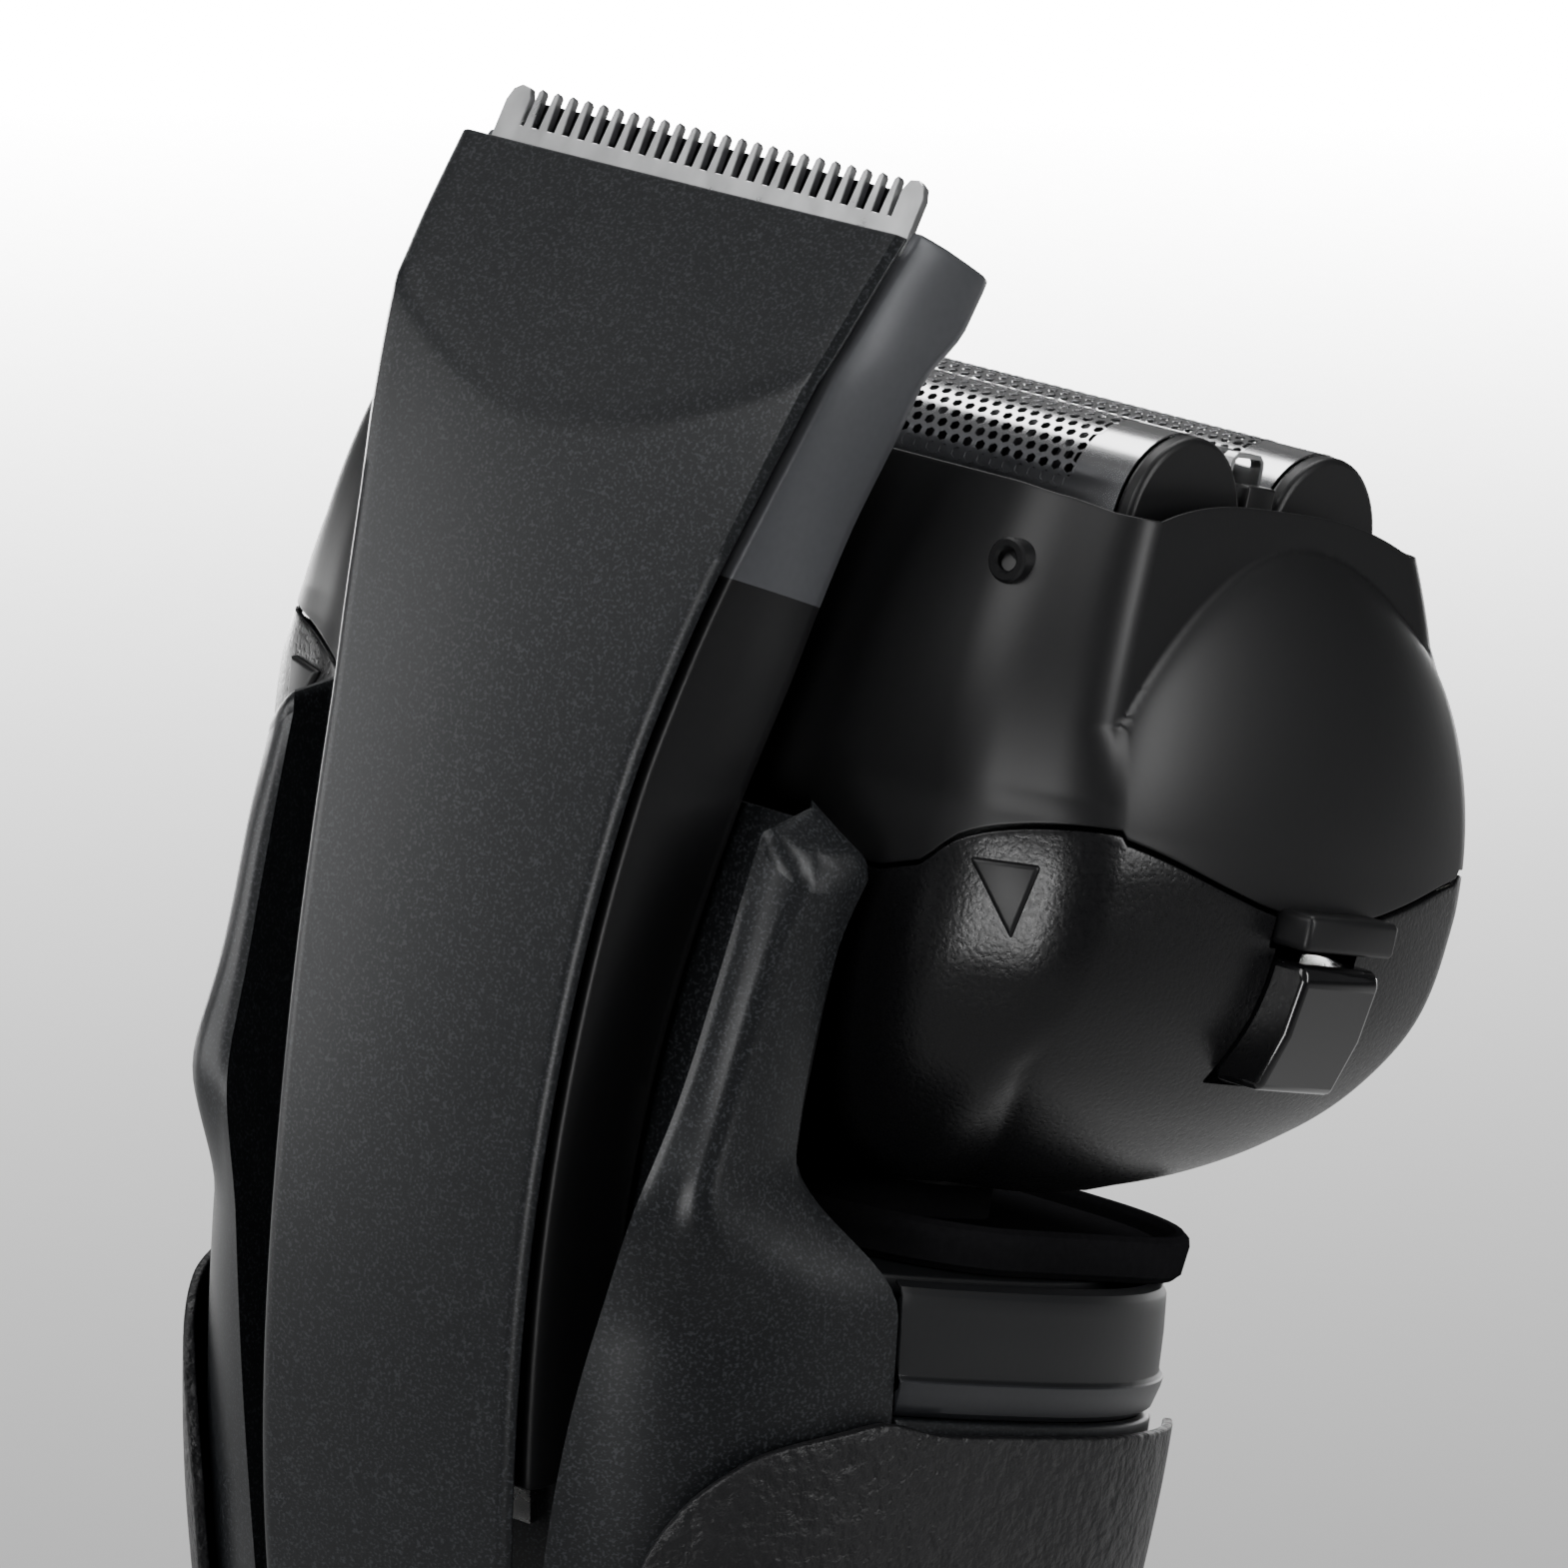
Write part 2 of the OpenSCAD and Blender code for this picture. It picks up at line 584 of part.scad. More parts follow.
module release_button() {
  translate([0, button_y + button_half, 0]) rotate([90, 0, 0]) linear_extrude(2 * button_half)
    polygon([[31, -13.5], [34.5, -13.5], [35.4, -10], [36, -6.6], [35.6, -5.8], [31, -5.8]]);
}
module release_button_left() color("black") in_head() mirror([1, 0, 0]) release_button();
module release_button_right() color("black") in_head() release_button();
module release_springs() {
  color("silver") in_head() both_sides() translate([25.8, button_y, -9.6]) difference() {
    along_x(3.8, 4, false);
    translate([-1, 0, 0]) along_x(8, 2.8, false);
  }
}
deck_low = -6.6;
module drive_deck() {
  color("dimgray") in_head() difference() {
    translate([0, 0, deck_low]) linear_extrude(1.5) polygon(round_rect(25.5, 16.6, 3, 4));
    for (s = [-1, 1]) translate([0, s * foil_y, deck_low - 1]) cylinder(h = 4, d = 9.2);
  }
}
module drive_seals() {
  color("black") in_head() for (s = [-1, 1]) translate([0, s * foil_y, deck_low]) difference() {
    cylinder(h = 1.9, d = 9.2);
    translate([0, 0, -1]) cylinder(h = 4, d = 4 + 2 * stroke + 2 * plain);
  }
}
module linear_motor() {
  color("silver") in_head() difference() {
    union() {
      block(-19, 19, -12.6, 9.6, pivot_z + 5.6, -8.4);
      block(-14, 14, -14, 11, -11.6, -9.2);
    }
    for (s = [-1, 1]) block(-6, 6, s * foil_y - 3, s * foil_y + 3, -10.8, -8);
  }
}

// ---------- foil frame and cassette ----------
frame_wall = 1.3;
bar_top = -3.3;           // just under the frame's lower edge
boss_d = 2.6;
module at_bosses() {
  for (s = [-1, 1], t = [-1, 1])
    translate([s * 22, t > 0 ? 17.55 : -18.55, 13.6]) rotate([t * 90, 0, 0]) children();
}
module foil_frame() {
  rows = [0, 0.2, 0.42, 0.64, 0.84, 0.95, 1];
  function top(p) = is_end(p) ? top_z : rim_z;
  body = [for (u = rows) [for (p = head_outline)
    head_point(p, mix(seam(p) + seam_gap, top(p), u))]];
  outer = concat([for (j = [0 : 5]) body[j]], [inset(body[6], 0.7, true)]);
  inner = [for (j = [0 : 6]) inset(body[j], frame_wall, true)];
  color("black") in_head() difference() {
    plate(outer, inner, closed = true);
    at_bosses() cylinder(h = 8, d = boss_d + 2 * run_fit, center = true);
  }
}
module catch_bars() {
  color("black") in_head() both_sides()
    block(33.7, 36, button_y - bar_half, button_y + bar_half, -5, bar_top);
}
module frame_bosses() {
  color("black") in_head() at_bosses() difference() {
    cylinder(h = 2.2, d = boss_d, center = true);
    translate([0, 0, -1.2]) cylinder(h = 0.7, d = boss_d / 2);
  }
}
tray_low = 8;
module cassette_tray() {
  color("black") in_head() difference() {
    block(-25.4, 25.4, -13, 13, tray_low, 10.4);
    block(-24.6, 24.6, -12.2, 12.2, tray_low - 1, 11.4);
  }
}
foil_t = 0.3;
module arch(r, half, z0) {
  intersection() {
    translate([0, 0, foil_z]) along_x(2 * half, 2 * r);
    block(-half, half, -r, r, foil_z, foil_z + r + 1);
  }
  block(-half, half, -r, r, z0, foil_z);
}
module foil(s) {
  in_head() translate([0, s * foil_y, 0]) difference() {
    arch(foil_r, foil_half, 10.4);
    arch(foil_r - foil_t, foil_half + 1, 9);
  }
}
module foil_front() color("lightgray") foil(-1);
module foil_rear() color("lightgray") foil(1);
module foil_caps() {
  color("black") in_head() {
    both_sides() for (s = [-1, 1]) translate([foil_half + 0.6, s * foil_y, 0])
      arch(foil_r - 0.1, 0.6, 11);
    both_sides() block(foil_half, foil_half + 1.2, -1.4, 1.4, 11, 20);
  }
}
slit_top = 21.4;
module slit_comb() {
  color("silver") in_head() difference() {
    block(-24, 24, -1.35, 1.35, 10.5, slit_top);
    block(-26, 26, -1.05, 1.05, 9, slit_top - 0.4);
    for (i = [0 : 21]) translate([-22.6 + i * 2.15, 0, slit_top]) cube([1.2, 2, 1.6], center = true);
  }
}
module cutter_carrier() {
  color("ivory") in_head() difference() {
    block(-22, 22, -11.6, 11.6, 3, 4.6);
    for (s = [-1, 1]) translate([0, s * foil_y, 2]) cylinder(h = 4, d = 8);
  }
}
cutter_half = 22.4;
blades = 15;
module cutter(s) {
  r = foil_r - foil_t - plain;
  in_head() translate([0, s * foil_y, 0]) {
    block(-cutter_half, cutter_half, -2.2, 2.2, 6.4, 9.4);
    for (i = [0 : blades - 1])
      translate([(cutter_half - 0.4) * (2 * i / (blades - 1) - 1), 0, 0])
      intersection() {
        translate([0, 0, foil_z]) along_x(0.8, 2 * r);
        block(-1, 1, -r, r, foil_z - 1, foil_z + r);
      }
    block(-cutter_half, cutter_half, -3.6, 3.6, 9.4, foil_z - 1);
  }
}
module cutter_front() color("silver") cutter(-1);
module cutter_rear() color("silver") cutter(1);
module cutter_middle() {
  color("silver") in_head() block(-22, 22, -0.7, 0.7, 6.4, slit_top - 0.8);
}
module shaft(s) {
  in_head() translate([0, s * foil_y, -8.2]) {
    cylinder(h = 14.6, d = 4);
    translate([0, 0, 12.9]) cylinder(h = 1.7, d = 6.4);
  }
}
module drive_shaft_front() color("white") shaft(-1);
module drive_shaft_rear() color("white") shaft(1);

front_housing();
rear_housing();
spine_plate();
shoulder_collar();
shoulder_deck();
neck_plate();
grip_left();
grip_right();
front_panel();
button_bezel();
power_button();
base_cap();
charge_socket();
charge_pins();
battery_cell();
battery_cradle();
circuit_board();
display_module();
housing_screws();
neck_bearing();
slide_rail();
trimmer_cover();
trimmer_frame();
trimmer_comb();
trimmer_cutter();
trimmer_screws();
neck_yoke();
gimbal_ring();
gimbal_pins();
pivot_block();
head_base();
drive_deck();
linear_motor();
drive_seals();
unlock_marks();
release_button_left();
release_button_right();
release_springs();
foil_frame();
catch_bars();
frame_bosses();
cassette_tray();
foil_front();
foil_rear();
slit_comb();
foil_caps();
cutter_carrier();
cutter_front();
cutter_rear();
cutter_middle();
drive_shaft_front();
drive_shaft_rear();
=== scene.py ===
# %% [markdown]
# # A foil shaver with its trimmer raised
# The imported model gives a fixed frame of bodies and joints. This notebook makes
# every visible surface around it, one piece after another. The shapes are worked
# out in millimetres, as on a drawing, and scaled to metres when a mesh is placed.

# %% Load the frame
import math

import bpy
from mathutils import Matrix, Vector


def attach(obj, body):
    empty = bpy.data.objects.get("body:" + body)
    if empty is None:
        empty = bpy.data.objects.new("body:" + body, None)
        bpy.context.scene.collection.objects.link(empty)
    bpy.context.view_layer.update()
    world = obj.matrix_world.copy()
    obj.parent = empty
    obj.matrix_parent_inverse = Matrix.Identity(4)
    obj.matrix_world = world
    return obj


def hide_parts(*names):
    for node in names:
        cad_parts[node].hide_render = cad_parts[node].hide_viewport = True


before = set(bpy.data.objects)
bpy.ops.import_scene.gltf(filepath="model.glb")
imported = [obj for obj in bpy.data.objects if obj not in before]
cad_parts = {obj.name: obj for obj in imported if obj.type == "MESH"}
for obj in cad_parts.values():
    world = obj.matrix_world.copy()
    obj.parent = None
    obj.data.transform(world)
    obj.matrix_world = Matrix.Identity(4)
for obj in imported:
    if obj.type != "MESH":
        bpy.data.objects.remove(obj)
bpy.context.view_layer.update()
MM = 0.001

# %% [markdown]
# The head and the shoulder lean forward by 15 degrees, so both are drawn in the
# head's own axes: x across, y to the back, z up the head, with the origin at the
# corner seams. One function carries such a point into the shaver's frame.

# %% The leaning axes of the head
LEAN = math.radians(15)
HEAD_FWD, HEAD_Z = 10.5, 139.0


def turn_to_head(v):
    x, y, z = v
    return Vector((x, y * math.cos(LEAN) - z * math.sin(LEAN),
                   y * math.sin(LEAN) + z * math.cos(LEAN)))


def in_head(x, y, z):
    return turn_to_head((x, y, z)) + Vector((0, -HEAD_FWD, HEAD_Z))


def clamp(value, low=0.0, high=1.0):
    return max(low, min(high, value))


def mix(a, b, t):
    return a + (b - a) * t


def smooth(t):
    t = clamp(t)
    return t * t * (3 - 2 * t)


print("corner seams' origin in mm:", [round(v, 1) for v in in_head(0, 0, 0)])

# %% [markdown]
# A long lens from behind and to one side flattens the shaver and keeps its edges
# calm. A target could steer the camera, but it rolls a little as well, so its axes
# are worked out from three angles about the leaning head: yaw, rise and roll.

# %% Camera
YAW, RISE, ROLL = math.radians(36.5), math.radians(4.7), math.radians(12.35)
VIEW_WIDTH, DISTANCE, SENSOR = 90.5, 700.0, 36.0
AIM_RIGHT, AIM_DOWN = 5.94, 4.09

away = Vector((-math.sin(YAW) * math.cos(RISE), math.cos(YAW) * math.cos(RISE),
               math.sin(RISE)))
level = Vector((-math.cos(YAW), -math.sin(YAW), 0))
upright = away.cross(level)
right = turn_to_head(level * math.cos(ROLL) + upright * math.sin(ROLL))
up = turn_to_head(upright * math.cos(ROLL) - level * math.sin(ROLL))
away = turn_to_head(away)
aim = in_head(0, 16, 0) + right * AIM_RIGHT - up * AIM_DOWN

camera_data = bpy.data.cameras.new("camera")
camera_data.sensor_width = SENSOR
camera_data.lens = SENSOR * DISTANCE / VIEW_WIDTH
camera_data.clip_start, camera_data.clip_end = 0.05, 20
camera = bpy.data.objects.new("camera", camera_data)
bpy.context.collection.objects.link(camera)
place = Matrix((right, up, away)).transposed().to_4x4()
place.translation = (aim + away * DISTANCE) * MM
camera.matrix_world = place
bpy.context.scene.camera = camera
print("lens", round(camera_data.lens, 1), "mm")

# %% [markdown]
# Dark plastic shows its form by what it reflects, so the lights are large and
# soft: a broad one over the trimmer's side, a strip along each flank for a sheen
# on the edges, and a pale room. The floor sweeps up into a wall behind.

# %% Lights and floor


def soft_light(name, place, aim_at, width, height, power):
    data = bpy.data.lights.new(name, "AREA")
    data.shape = "RECTANGLE"
    data.size, data.size_y, data.energy = width, height, power
    light = bpy.data.objects.new(name, data)
    bpy.context.collection.objects.link(light)
    light.location = place
    light.rotation_mode = "QUATERNION"
    light.rotation_quaternion = (Vector(place) - Vector(aim_at)).to_track_quat("Z", "Y")


def beside(across, height, towards):
    """A place in metres, given from the middle of the view."""
    return (aim + (right * across + up * height + away * towards)) * MM


HEART = aim * MM
soft_light("broad_light", beside(-420, 520, 520), HEART, 0.55, 0.55, 5.0)
soft_light("right_strip", beside(620, 160, 330), HEART, 0.16, 0.6, 4.0)
soft_light("left_strip", beside(-640, -60, -60), HEART, 0.2, 0.7, 4.0)
soft_light("top_light", beside(60, 700, -200), HEART, 0.6, 0.4, 4.6)
BOWL_SIDE, BEAM, BEAM_REACH = in_head(-22, 18, -6), turn_to_head((-0.364, 0.899, -0.25)), 520
soft_light("bowl_highlight", (BOWL_SIDE + BEAM * BEAM_REACH) * MM, BOWL_SIDE * MM, 0.1, 0.22, 1.3)
soft_light("low_glow", beside(120, -560, 420), HEART, 0.5, 0.25, 1.2)

ROOM_TINT, ROOM_STRENGTH = (0.92, 0.93, 0.95, 1), 0.13
world = bpy.data.worlds.new("pale_room")
bpy.context.scene.world = world
world.use_nodes = True
room = world.node_tree.nodes["Background"]
room.inputs[0].default_value, room.inputs[1].default_value = ROOM_TINT, ROOM_STRENGTH

# The sweep in metres: half its width, floor behind and before, bend radius, wall
SWEEP_HALF, SWEEP_BACK, SWEEP_FRONT, SWEEP_R, WALL_RISE = 2.2, 1.1, 2.0, 0.5, 1.6
bpy.ops.object.select_all(action="DESELECT")
bpy.ops.mesh.primitive_grid_add(x_subdivisions=2, y_subdivisions=60, size=2)
sweep = bpy.context.object
sweep.name = "floor_sweep"
sweep_dir = Vector((-away.x, -away.y, 0)).normalized()
sweep_side = Vector((sweep_dir.y, -sweep_dir.x, 0))
for vertex in sweep.data.vertices:
    run = mix(-SWEEP_FRONT, SWEEP_BACK + SWEEP_R * math.pi / 2 + WALL_RISE, (vertex.co.y + 1) / 2)
    bend = clamp((run - SWEEP_BACK) / SWEEP_R, 0, math.pi / 2)
    rest = max(run - SWEEP_BACK - SWEEP_R * math.pi / 2, 0)
    along = min(run, SWEEP_BACK) + SWEEP_R * math.sin(bend)
    height = SWEEP_R * (1 - math.cos(bend)) + rest
    vertex.co = sweep_side * vertex.co.x * SWEEP_HALF + sweep_dir * along + Vector((0, 0, height))
bpy.ops.object.shade_smooth()
print(len(bpy.data.lights), "lights and a sweep of", len(sweep.data.polygons), "faces")

# %% [markdown]
# Finishes are sums of noises, so a small class lets shader sockets take part in
# plain Python arithmetic. A finish makes any node from its type, its settings and
# its socket values, and hands the result on as a socket again.

# %% Shader arithmetic
COAT_ROUGHNESS, PLASTIC_SHINE, METAL_SHINE = 0.08, 0.32, 0.5


class Wire:
    """A shader socket that can be added, multiplied and so on."""

    def __init__(self, finish, socket):
        self.finish, self.socket = finish, socket

    def sum(self, operation, *values):
        return self.finish.node("ShaderNodeMath", {"operation": operation},
                                dict(enumerate(values)))

    def __add__(self, other):
        return self.sum("ADD", self, other)

    def __sub__(self, other):
        return self.sum("SUBTRACT", self, other)

    def __rsub__(self, other):
        return self.sum("SUBTRACT", other, self)

    def __mul__(self, other):
        return self.sum("MULTIPLY", self, other)

    def __rpow__(self, other):
        return self.sum("POWER", other, self)

    __radd__, __rmul__ = __add__, __mul__


class Finish:
    """One material whose nodes are made and linked in the order of use."""

    def __init__(self, name, colour, roughness, metallic=0.0, coat=0.0):
        self.material = bpy.data.materials.new(name)
        self.material.use_nodes = True
        self.tree = self.material.node_tree
        self.shader = self.tree.nodes["Principled BSDF"]
        self.give({"Base Color": (*colour, 1), "Roughness": roughness,
                   "Metallic": metallic, "Coat Weight": coat, "Coat Roughness": COAT_ROUGHNESS,
                   "Specular IOR Level": METAL_SHINE if metallic == 1 else PLASTIC_SHINE})
        self.place = self.node("ShaderNodeTexCoord", {}, {}, "Object")

    def fill(self, node, inputs):
        for key, value in inputs.items():
            if isinstance(value, Wire):
                self.tree.links.new(value.socket, node.inputs[key])
            else:
                node.inputs[key].default_value = value

    def give(self, inputs):
        self.fill(self.shader, inputs)

    def node(self, kind, settings, inputs, out=0):
        node = self.tree.nodes.new(kind)
        for key, value in settings.items():
            setattr(node, key, value)
        self.fill(node, inputs)
        return Wire(self, node.outputs[out])

    def noise(self, scale, detail=3.0, stretch=None):
        place = self.place
        if stretch:
            place = self.node("ShaderNodeMapping", {}, {"Vector": place, "Scale": stretch})
        return self.node("ShaderNodeTexNoise", {},
                         {"Vector": place, "Scale": scale, "Detail": detail})

    def blend(self, factor, first, second):
        return self.node("ShaderNodeMix", {"data_type": "RGBA"},
                         {0: factor, 6: (*first, 1), 7: (*second, 1)}, 2)

    def bump(self, height, strength, distance):
        self.give({"Normal": self.node("ShaderNodeBump", {}, {
            "Height": height, "Strength": strength, "Distance": distance})})


print("shine of plastic and of metal:", PLASTIC_SHINE, METAL_SHINE)

# %% [markdown]
# The housings are moulded in charcoal plastic with metal flakes under a satin
# lacquer. A very fine noise picks out the flakes, and a broad one shifts the gloss
# a little, as handling does. The other plastics differ only in tone and gloss, so
# one function makes them all. The neck shines less, or it would mirror the paper.

# %% Plastics


def moulded(name, dark, light, roughness, grain=2200, bump=0.12, metallic=0.0, coat=0.0):
    finish = Finish(name, dark, roughness, metallic, coat)
    fine = finish.noise(grain, 2)
    broad = finish.noise(40, 3)
    finish.give({"Base Color": finish.blend(fine, dark, light),
                 "Roughness": broad * 0.08 + (roughness - 0.04)})
    finish.bump(fine, bump, 0.00003)
    return finish


flaked = Finish("charcoal_flake", (0.014, 0.015, 0.0165), 0.4, 0.15)
flake = flaked.noise(5200, 1)
speck = (flake - 0.52) * 6
flaked.give({"Base Color": flaked.blend(speck, (0.0065, 0.0072, 0.0082), (0.024, 0.026, 0.029)),
             "Roughness": flaked.noise(60, 3) * 0.08 + flake * 0.12 + 0.28})
flaked.bump(flake, 0.15, 0.00002)
charcoal = flaked.material

grey_satin = moulded("grey_satin", (0.055, 0.057, 0.062), (0.068, 0.07, 0.076), 0.4,
                     metallic=0.2).material
shoulder_grey = moulded("shoulder_grey", (0.0035, 0.0038, 0.0045), (0.006, 0.0065, 0.0075),
                        0.46, metallic=0.1).material
shoulder_light = moulded("shoulder_light", (0.015, 0.016, 0.018), (0.021, 0.022, 0.025), 0.38,
                         metallic=0.2).material
frame_matte = moulded("frame_matte", (0.0035, 0.0035, 0.004), (0.006, 0.006, 0.0065),
                      0.42).material
neck_finish = moulded("neck_matte", (0.003, 0.003, 0.0035), (0.006, 0.006, 0.0065), 0.5)
neck_finish.give({"Specular IOR Level": 0.1})
neck_black = neck_finish.material
dish_finish = moulded("dish_rubber", (0.006, 0.006, 0.0065), (0.011, 0.011, 0.012), 0.8)
dish_finish.give({"Specular IOR Level": 0.0})
dish_rubber = dish_finish.material
gloss_black = moulded("gloss_black", (0.003, 0.003, 0.0035), (0.0045, 0.0045, 0.005), 0.2,
                      bump=0.02, coat=0.6).material
dark_gloss = moulded("panel_gloss", (0.008, 0.009, 0.012), (0.012, 0.013, 0.017), 0.08,
                     bump=0.01, coat=1.0).material
print(len(bpy.data.materials), "finishes so far")

# %% [markdown]
# The backdrop is paper that fades from white above to a mid grey below. Lamps could
# light it so, but they would light the shaver too, so the paper glows by itself.
# Its fade runs along one fixed direction in the room, the camera's upright.

# %% Backdrop paper
FADE_REACH, FADE_STRENGTH, FADE_FOOT = 0.42, 26.0, 0.5
FADE_RISE, FADE_BEND, FADE_GRAIN = 6.6, 15.0, 0.01
DOUBLINGS, LATE_DOUBLINGS = 3.1, 2.6
paper = Finish("backdrop_paper", (0.1, 0.1, 0.1), 0.9)
paper.give({"Specular IOR Level": 0.0, "Emission Strength": FADE_STRENGTH})
fade_mid = (aim - away * (aim.z / away.z)) * MM
reach = paper.node("ShaderNodeVectorMath", {"operation": "DOT_PRODUCT"},
                   {0: paper.place, 1: tuple(up)}, 1)
rise = reach - fade_mid.dot(up)
tone = paper.node("ShaderNodeMapRange", {}, {
    "Value": rise * FADE_RISE - rise * rise * FADE_BEND + paper.noise(300) * FADE_GRAIN + 0.5,
    "From Min": 0.0, "From Max": 1.0, "To Min": 0.0, "To Max": 1.0})
from_mid = paper.node("ShaderNodeVectorMath", {"operation": "DISTANCE"},
                      {0: paper.place, 1: tuple(fade_mid)}, 1)
patch = paper.node("ShaderNodeMapRange", {}, {
    "Value": from_mid, "From Min": FADE_REACH, "From Max": 2 * FADE_REACH,
    "To Min": 1.0, "To Max": 0.0})
glow = 2.0 ** (tone * DOUBLINGS + tone * tone * tone * LATE_DOUBLINGS)
glow = glow * (FADE_FOOT / FADE_STRENGTH) * patch
paper.give({"Emission Color": paper.blend(glow, (0, 0, 0), (1, 1, 1))})
sweep.data.materials.append(paper.material)
print("backdrop fades from", FADE_FOOT, "upwards")

# %% [markdown]
# The head's base has an eroded texture of tiny pebbles with a soft shine. The grips
# are rubber with a crinkled, leather-like skin: a coarse noise with a finer one on it
# makes the creases.

# %% Pebbled base and leather grips
pebbled = Finish("pebbled_black", (0.004, 0.004, 0.0045), 0.32)
pebble = pebbled.noise(3400, 2)
pebbled.give({"Roughness": pebble * 0.2 + 0.2})
pebbled.bump(pebble, 0.45, 0.00006)
pebbled_black = pebbled.material

leather = Finish("leather_rubber", (0.014, 0.014, 0.015), 0.5)
wave = leather.noise(700, 4)
crease = leather.noise(1500, 2)
height = crease * 0.5 + wave
leather.give({"Base Color": leather.blend(wave, (0.003, 0.003, 0.0035), (0.008, 0.008, 0.009)),
              "Roughness": wave * 0.2 + 0.38})
leather.bump(height, 0.75, 0.0005)
leather_rubber = leather.material
print(len(leather.tree.nodes), "nodes in the leather")

# %% [markdown]
# Foils are rolled and polished, so their noise is drawn out along the foil and
# hardly lifts the surface. Cutters and combs are ground: a satin steel with fine
# lines. The parts inside get plain finishes of their own kinds.

# %% Metals and inner parts


def metal(name, dark, light, roughness, stretch, spread=0.12):
    finish = Finish(name, light, roughness, 1.0)
    lines = finish.noise(900, 3, stretch)
    finish.give({"Base Color": finish.blend(lines, dark, light),
                 "Roughness": lines * spread + (roughness - spread / 2)})
    finish.bump(lines, 0.08, 0.00002)
    return finish.material


foil_steel = metal("foil_steel", (0.62, 0.62, 0.63), (0.74, 0.74, 0.75), 0.17, (0.05, 1, 1))
blade_steel = metal("blade_steel", (0.55, 0.555, 0.56), (0.74, 0.745, 0.75), 0.3, (1, 1, 0.06))
dark_steel = metal("dark_steel", (0.03, 0.03, 0.032), (0.07, 0.07, 0.075), 0.4, (1, 1, 0.06))
pivot_steel = metal("pivot_steel", (0.5, 0.5, 0.5), (0.62, 0.62, 0.62), 0.26, (1, 1, 1))
brass = metal("contact_brass", (0.6, 0.42, 0.16), (0.74, 0.54, 0.24), 0.25, (1, 1, 1))
button_metal = metal("button_metal", (0.42, 0.43, 0.45), (0.55, 0.56, 0.58), 0.3, (1, 0.05, 1))
bezel_metal = metal("bezel_metal", (0.68, 0.68, 0.7), (0.8, 0.8, 0.82), 0.12, (1, 1, 1), 0.05)
nylon = moulded("white_nylon", (0.6, 0.6, 0.57), (0.68, 0.68, 0.65), 0.42, 900).material
cell_wrap = moulded("cell_wrap", (0.03, 0.18, 0.06), (0.04, 0.22, 0.08), 0.3, 300).material
board_green = moulded("board_green", (0.01, 0.09, 0.03), (0.02, 0.14, 0.05), 0.35, 800).material
seal_rubber = moulded("seal_rubber", (0.01, 0.01, 0.01), (0.018, 0.018, 0.018), 0.62, 900).material
print(len(bpy.data.materials), "finishes in all")

# %% [markdown]
# The drive, the cell, the pins and the other inner parts stay as packed, and each
# gets the finish of its own material. A list by finish is the shortest way to say so.

# %% Finishes of the pieces that stay as packed
CARRIED = [
    (pivot_steel, "slide_rail housing_screws neck_yoke gimbal_ring gimbal_pins pivot_block"),
    (pivot_steel, "linear_motor release_springs trimmer_screws"),
    (neck_black, "spine_plate charge_socket drive_deck cassette_tray"),
    (nylon, "battery_cradle cutter_carrier drive_shaft_front drive_shaft_rear"),
    (dark_steel, "cutter_front cutter_rear cutter_middle"),
    (brass, "neck_bearing charge_pins"), (cell_wrap, "battery_cell"),
    (board_green, "circuit_board"), (dark_gloss, "display_module"), (seal_rubber, "drive_seals"),
]
for material, node_names in CARRIED:
    for node_name in node_names.split():
        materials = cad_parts[node_name].data.materials
        materials.clear()
        materials.append(material)
print("packed pieces finished:", sum(len(names.split()) for _, names in CARRIED))

# %% [markdown]
# Every finished piece gets its finish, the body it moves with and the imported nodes
# that it stands for. Modifiers are applied at once, so each step is seen in the mesh,
# and an edit mode operator works on all of it, as after pressing A.

# %% Finishing tools


def settle(obj, node_names, body, slot_name, *materials):
    """Gives a finished piece its material, its body and the nodes it stands for."""
    obj.data.materials.clear()
    for material in materials:
        obj.data.materials.append(material)
    if node_names:
        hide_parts(*node_names)
    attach(obj, body)
    print(obj.name, "rides on", body + ":", len(obj.data.polygons), "faces")
    return obj


def select_only(obj):
    bpy.ops.object.select_all(action="DESELECT")
    obj.select_set(True)
    bpy.context.view_layer.objects.active = obj


def add_modifier(obj, kind, **settings):
    """Adds a modifier and applies it at once."""
    select_only(obj)
    modifier = obj.modifiers.new(kind.lower(), kind)
    for key, value in settings.items():
        setattr(modifier, key, value)
    bpy.ops.object.modifier_apply(modifier=modifier.name)


def carve(obj, tool):
    """Cuts the tool out of a piece and throws the tool away."""
    add_modifier(obj, "BOOLEAN", operation="DIFFERENCE", object=tool, solver="EXACT")
    bpy.data.objects.remove(tool, do_unlink=True)


def edit_all(obj, operator, **settings):
    """Runs one edit mode operator on the whole mesh."""
    select_only(obj)
    bpy.ops.object.mode_set(mode="EDIT")
    bpy.ops.mesh.select_all(action="SELECT")
    operator(**settings)
    bpy.ops.object.mode_set(mode="OBJECT")
    return obj


def outward(obj):
    return edit_all(obj, bpy.ops.mesh.normals_make_consistent, inside=False)


def merged(obj, reach=0.00001):
    return edit_all(obj, bpy.ops.mesh.remove_doubles, threshold=reach)


def soften(obj, width=0.0, segments=3, sharp=38, smooth_to=32):
    """Rounds the edges that are sharper than an angle, then shades smoothly."""
    if width:
        add_modifier(obj, "BEVEL", width=width * MM, segments=segments,
                     limit_method="ANGLE", angle_limit=math.radians(sharp),
                     use_clamp_overlap=True, harden_normals=False)
    select_only(obj)
    bpy.ops.object.shade_smooth_by_angle(angle=math.radians(smooth_to))
    return obj


print("finishing tools are ready")

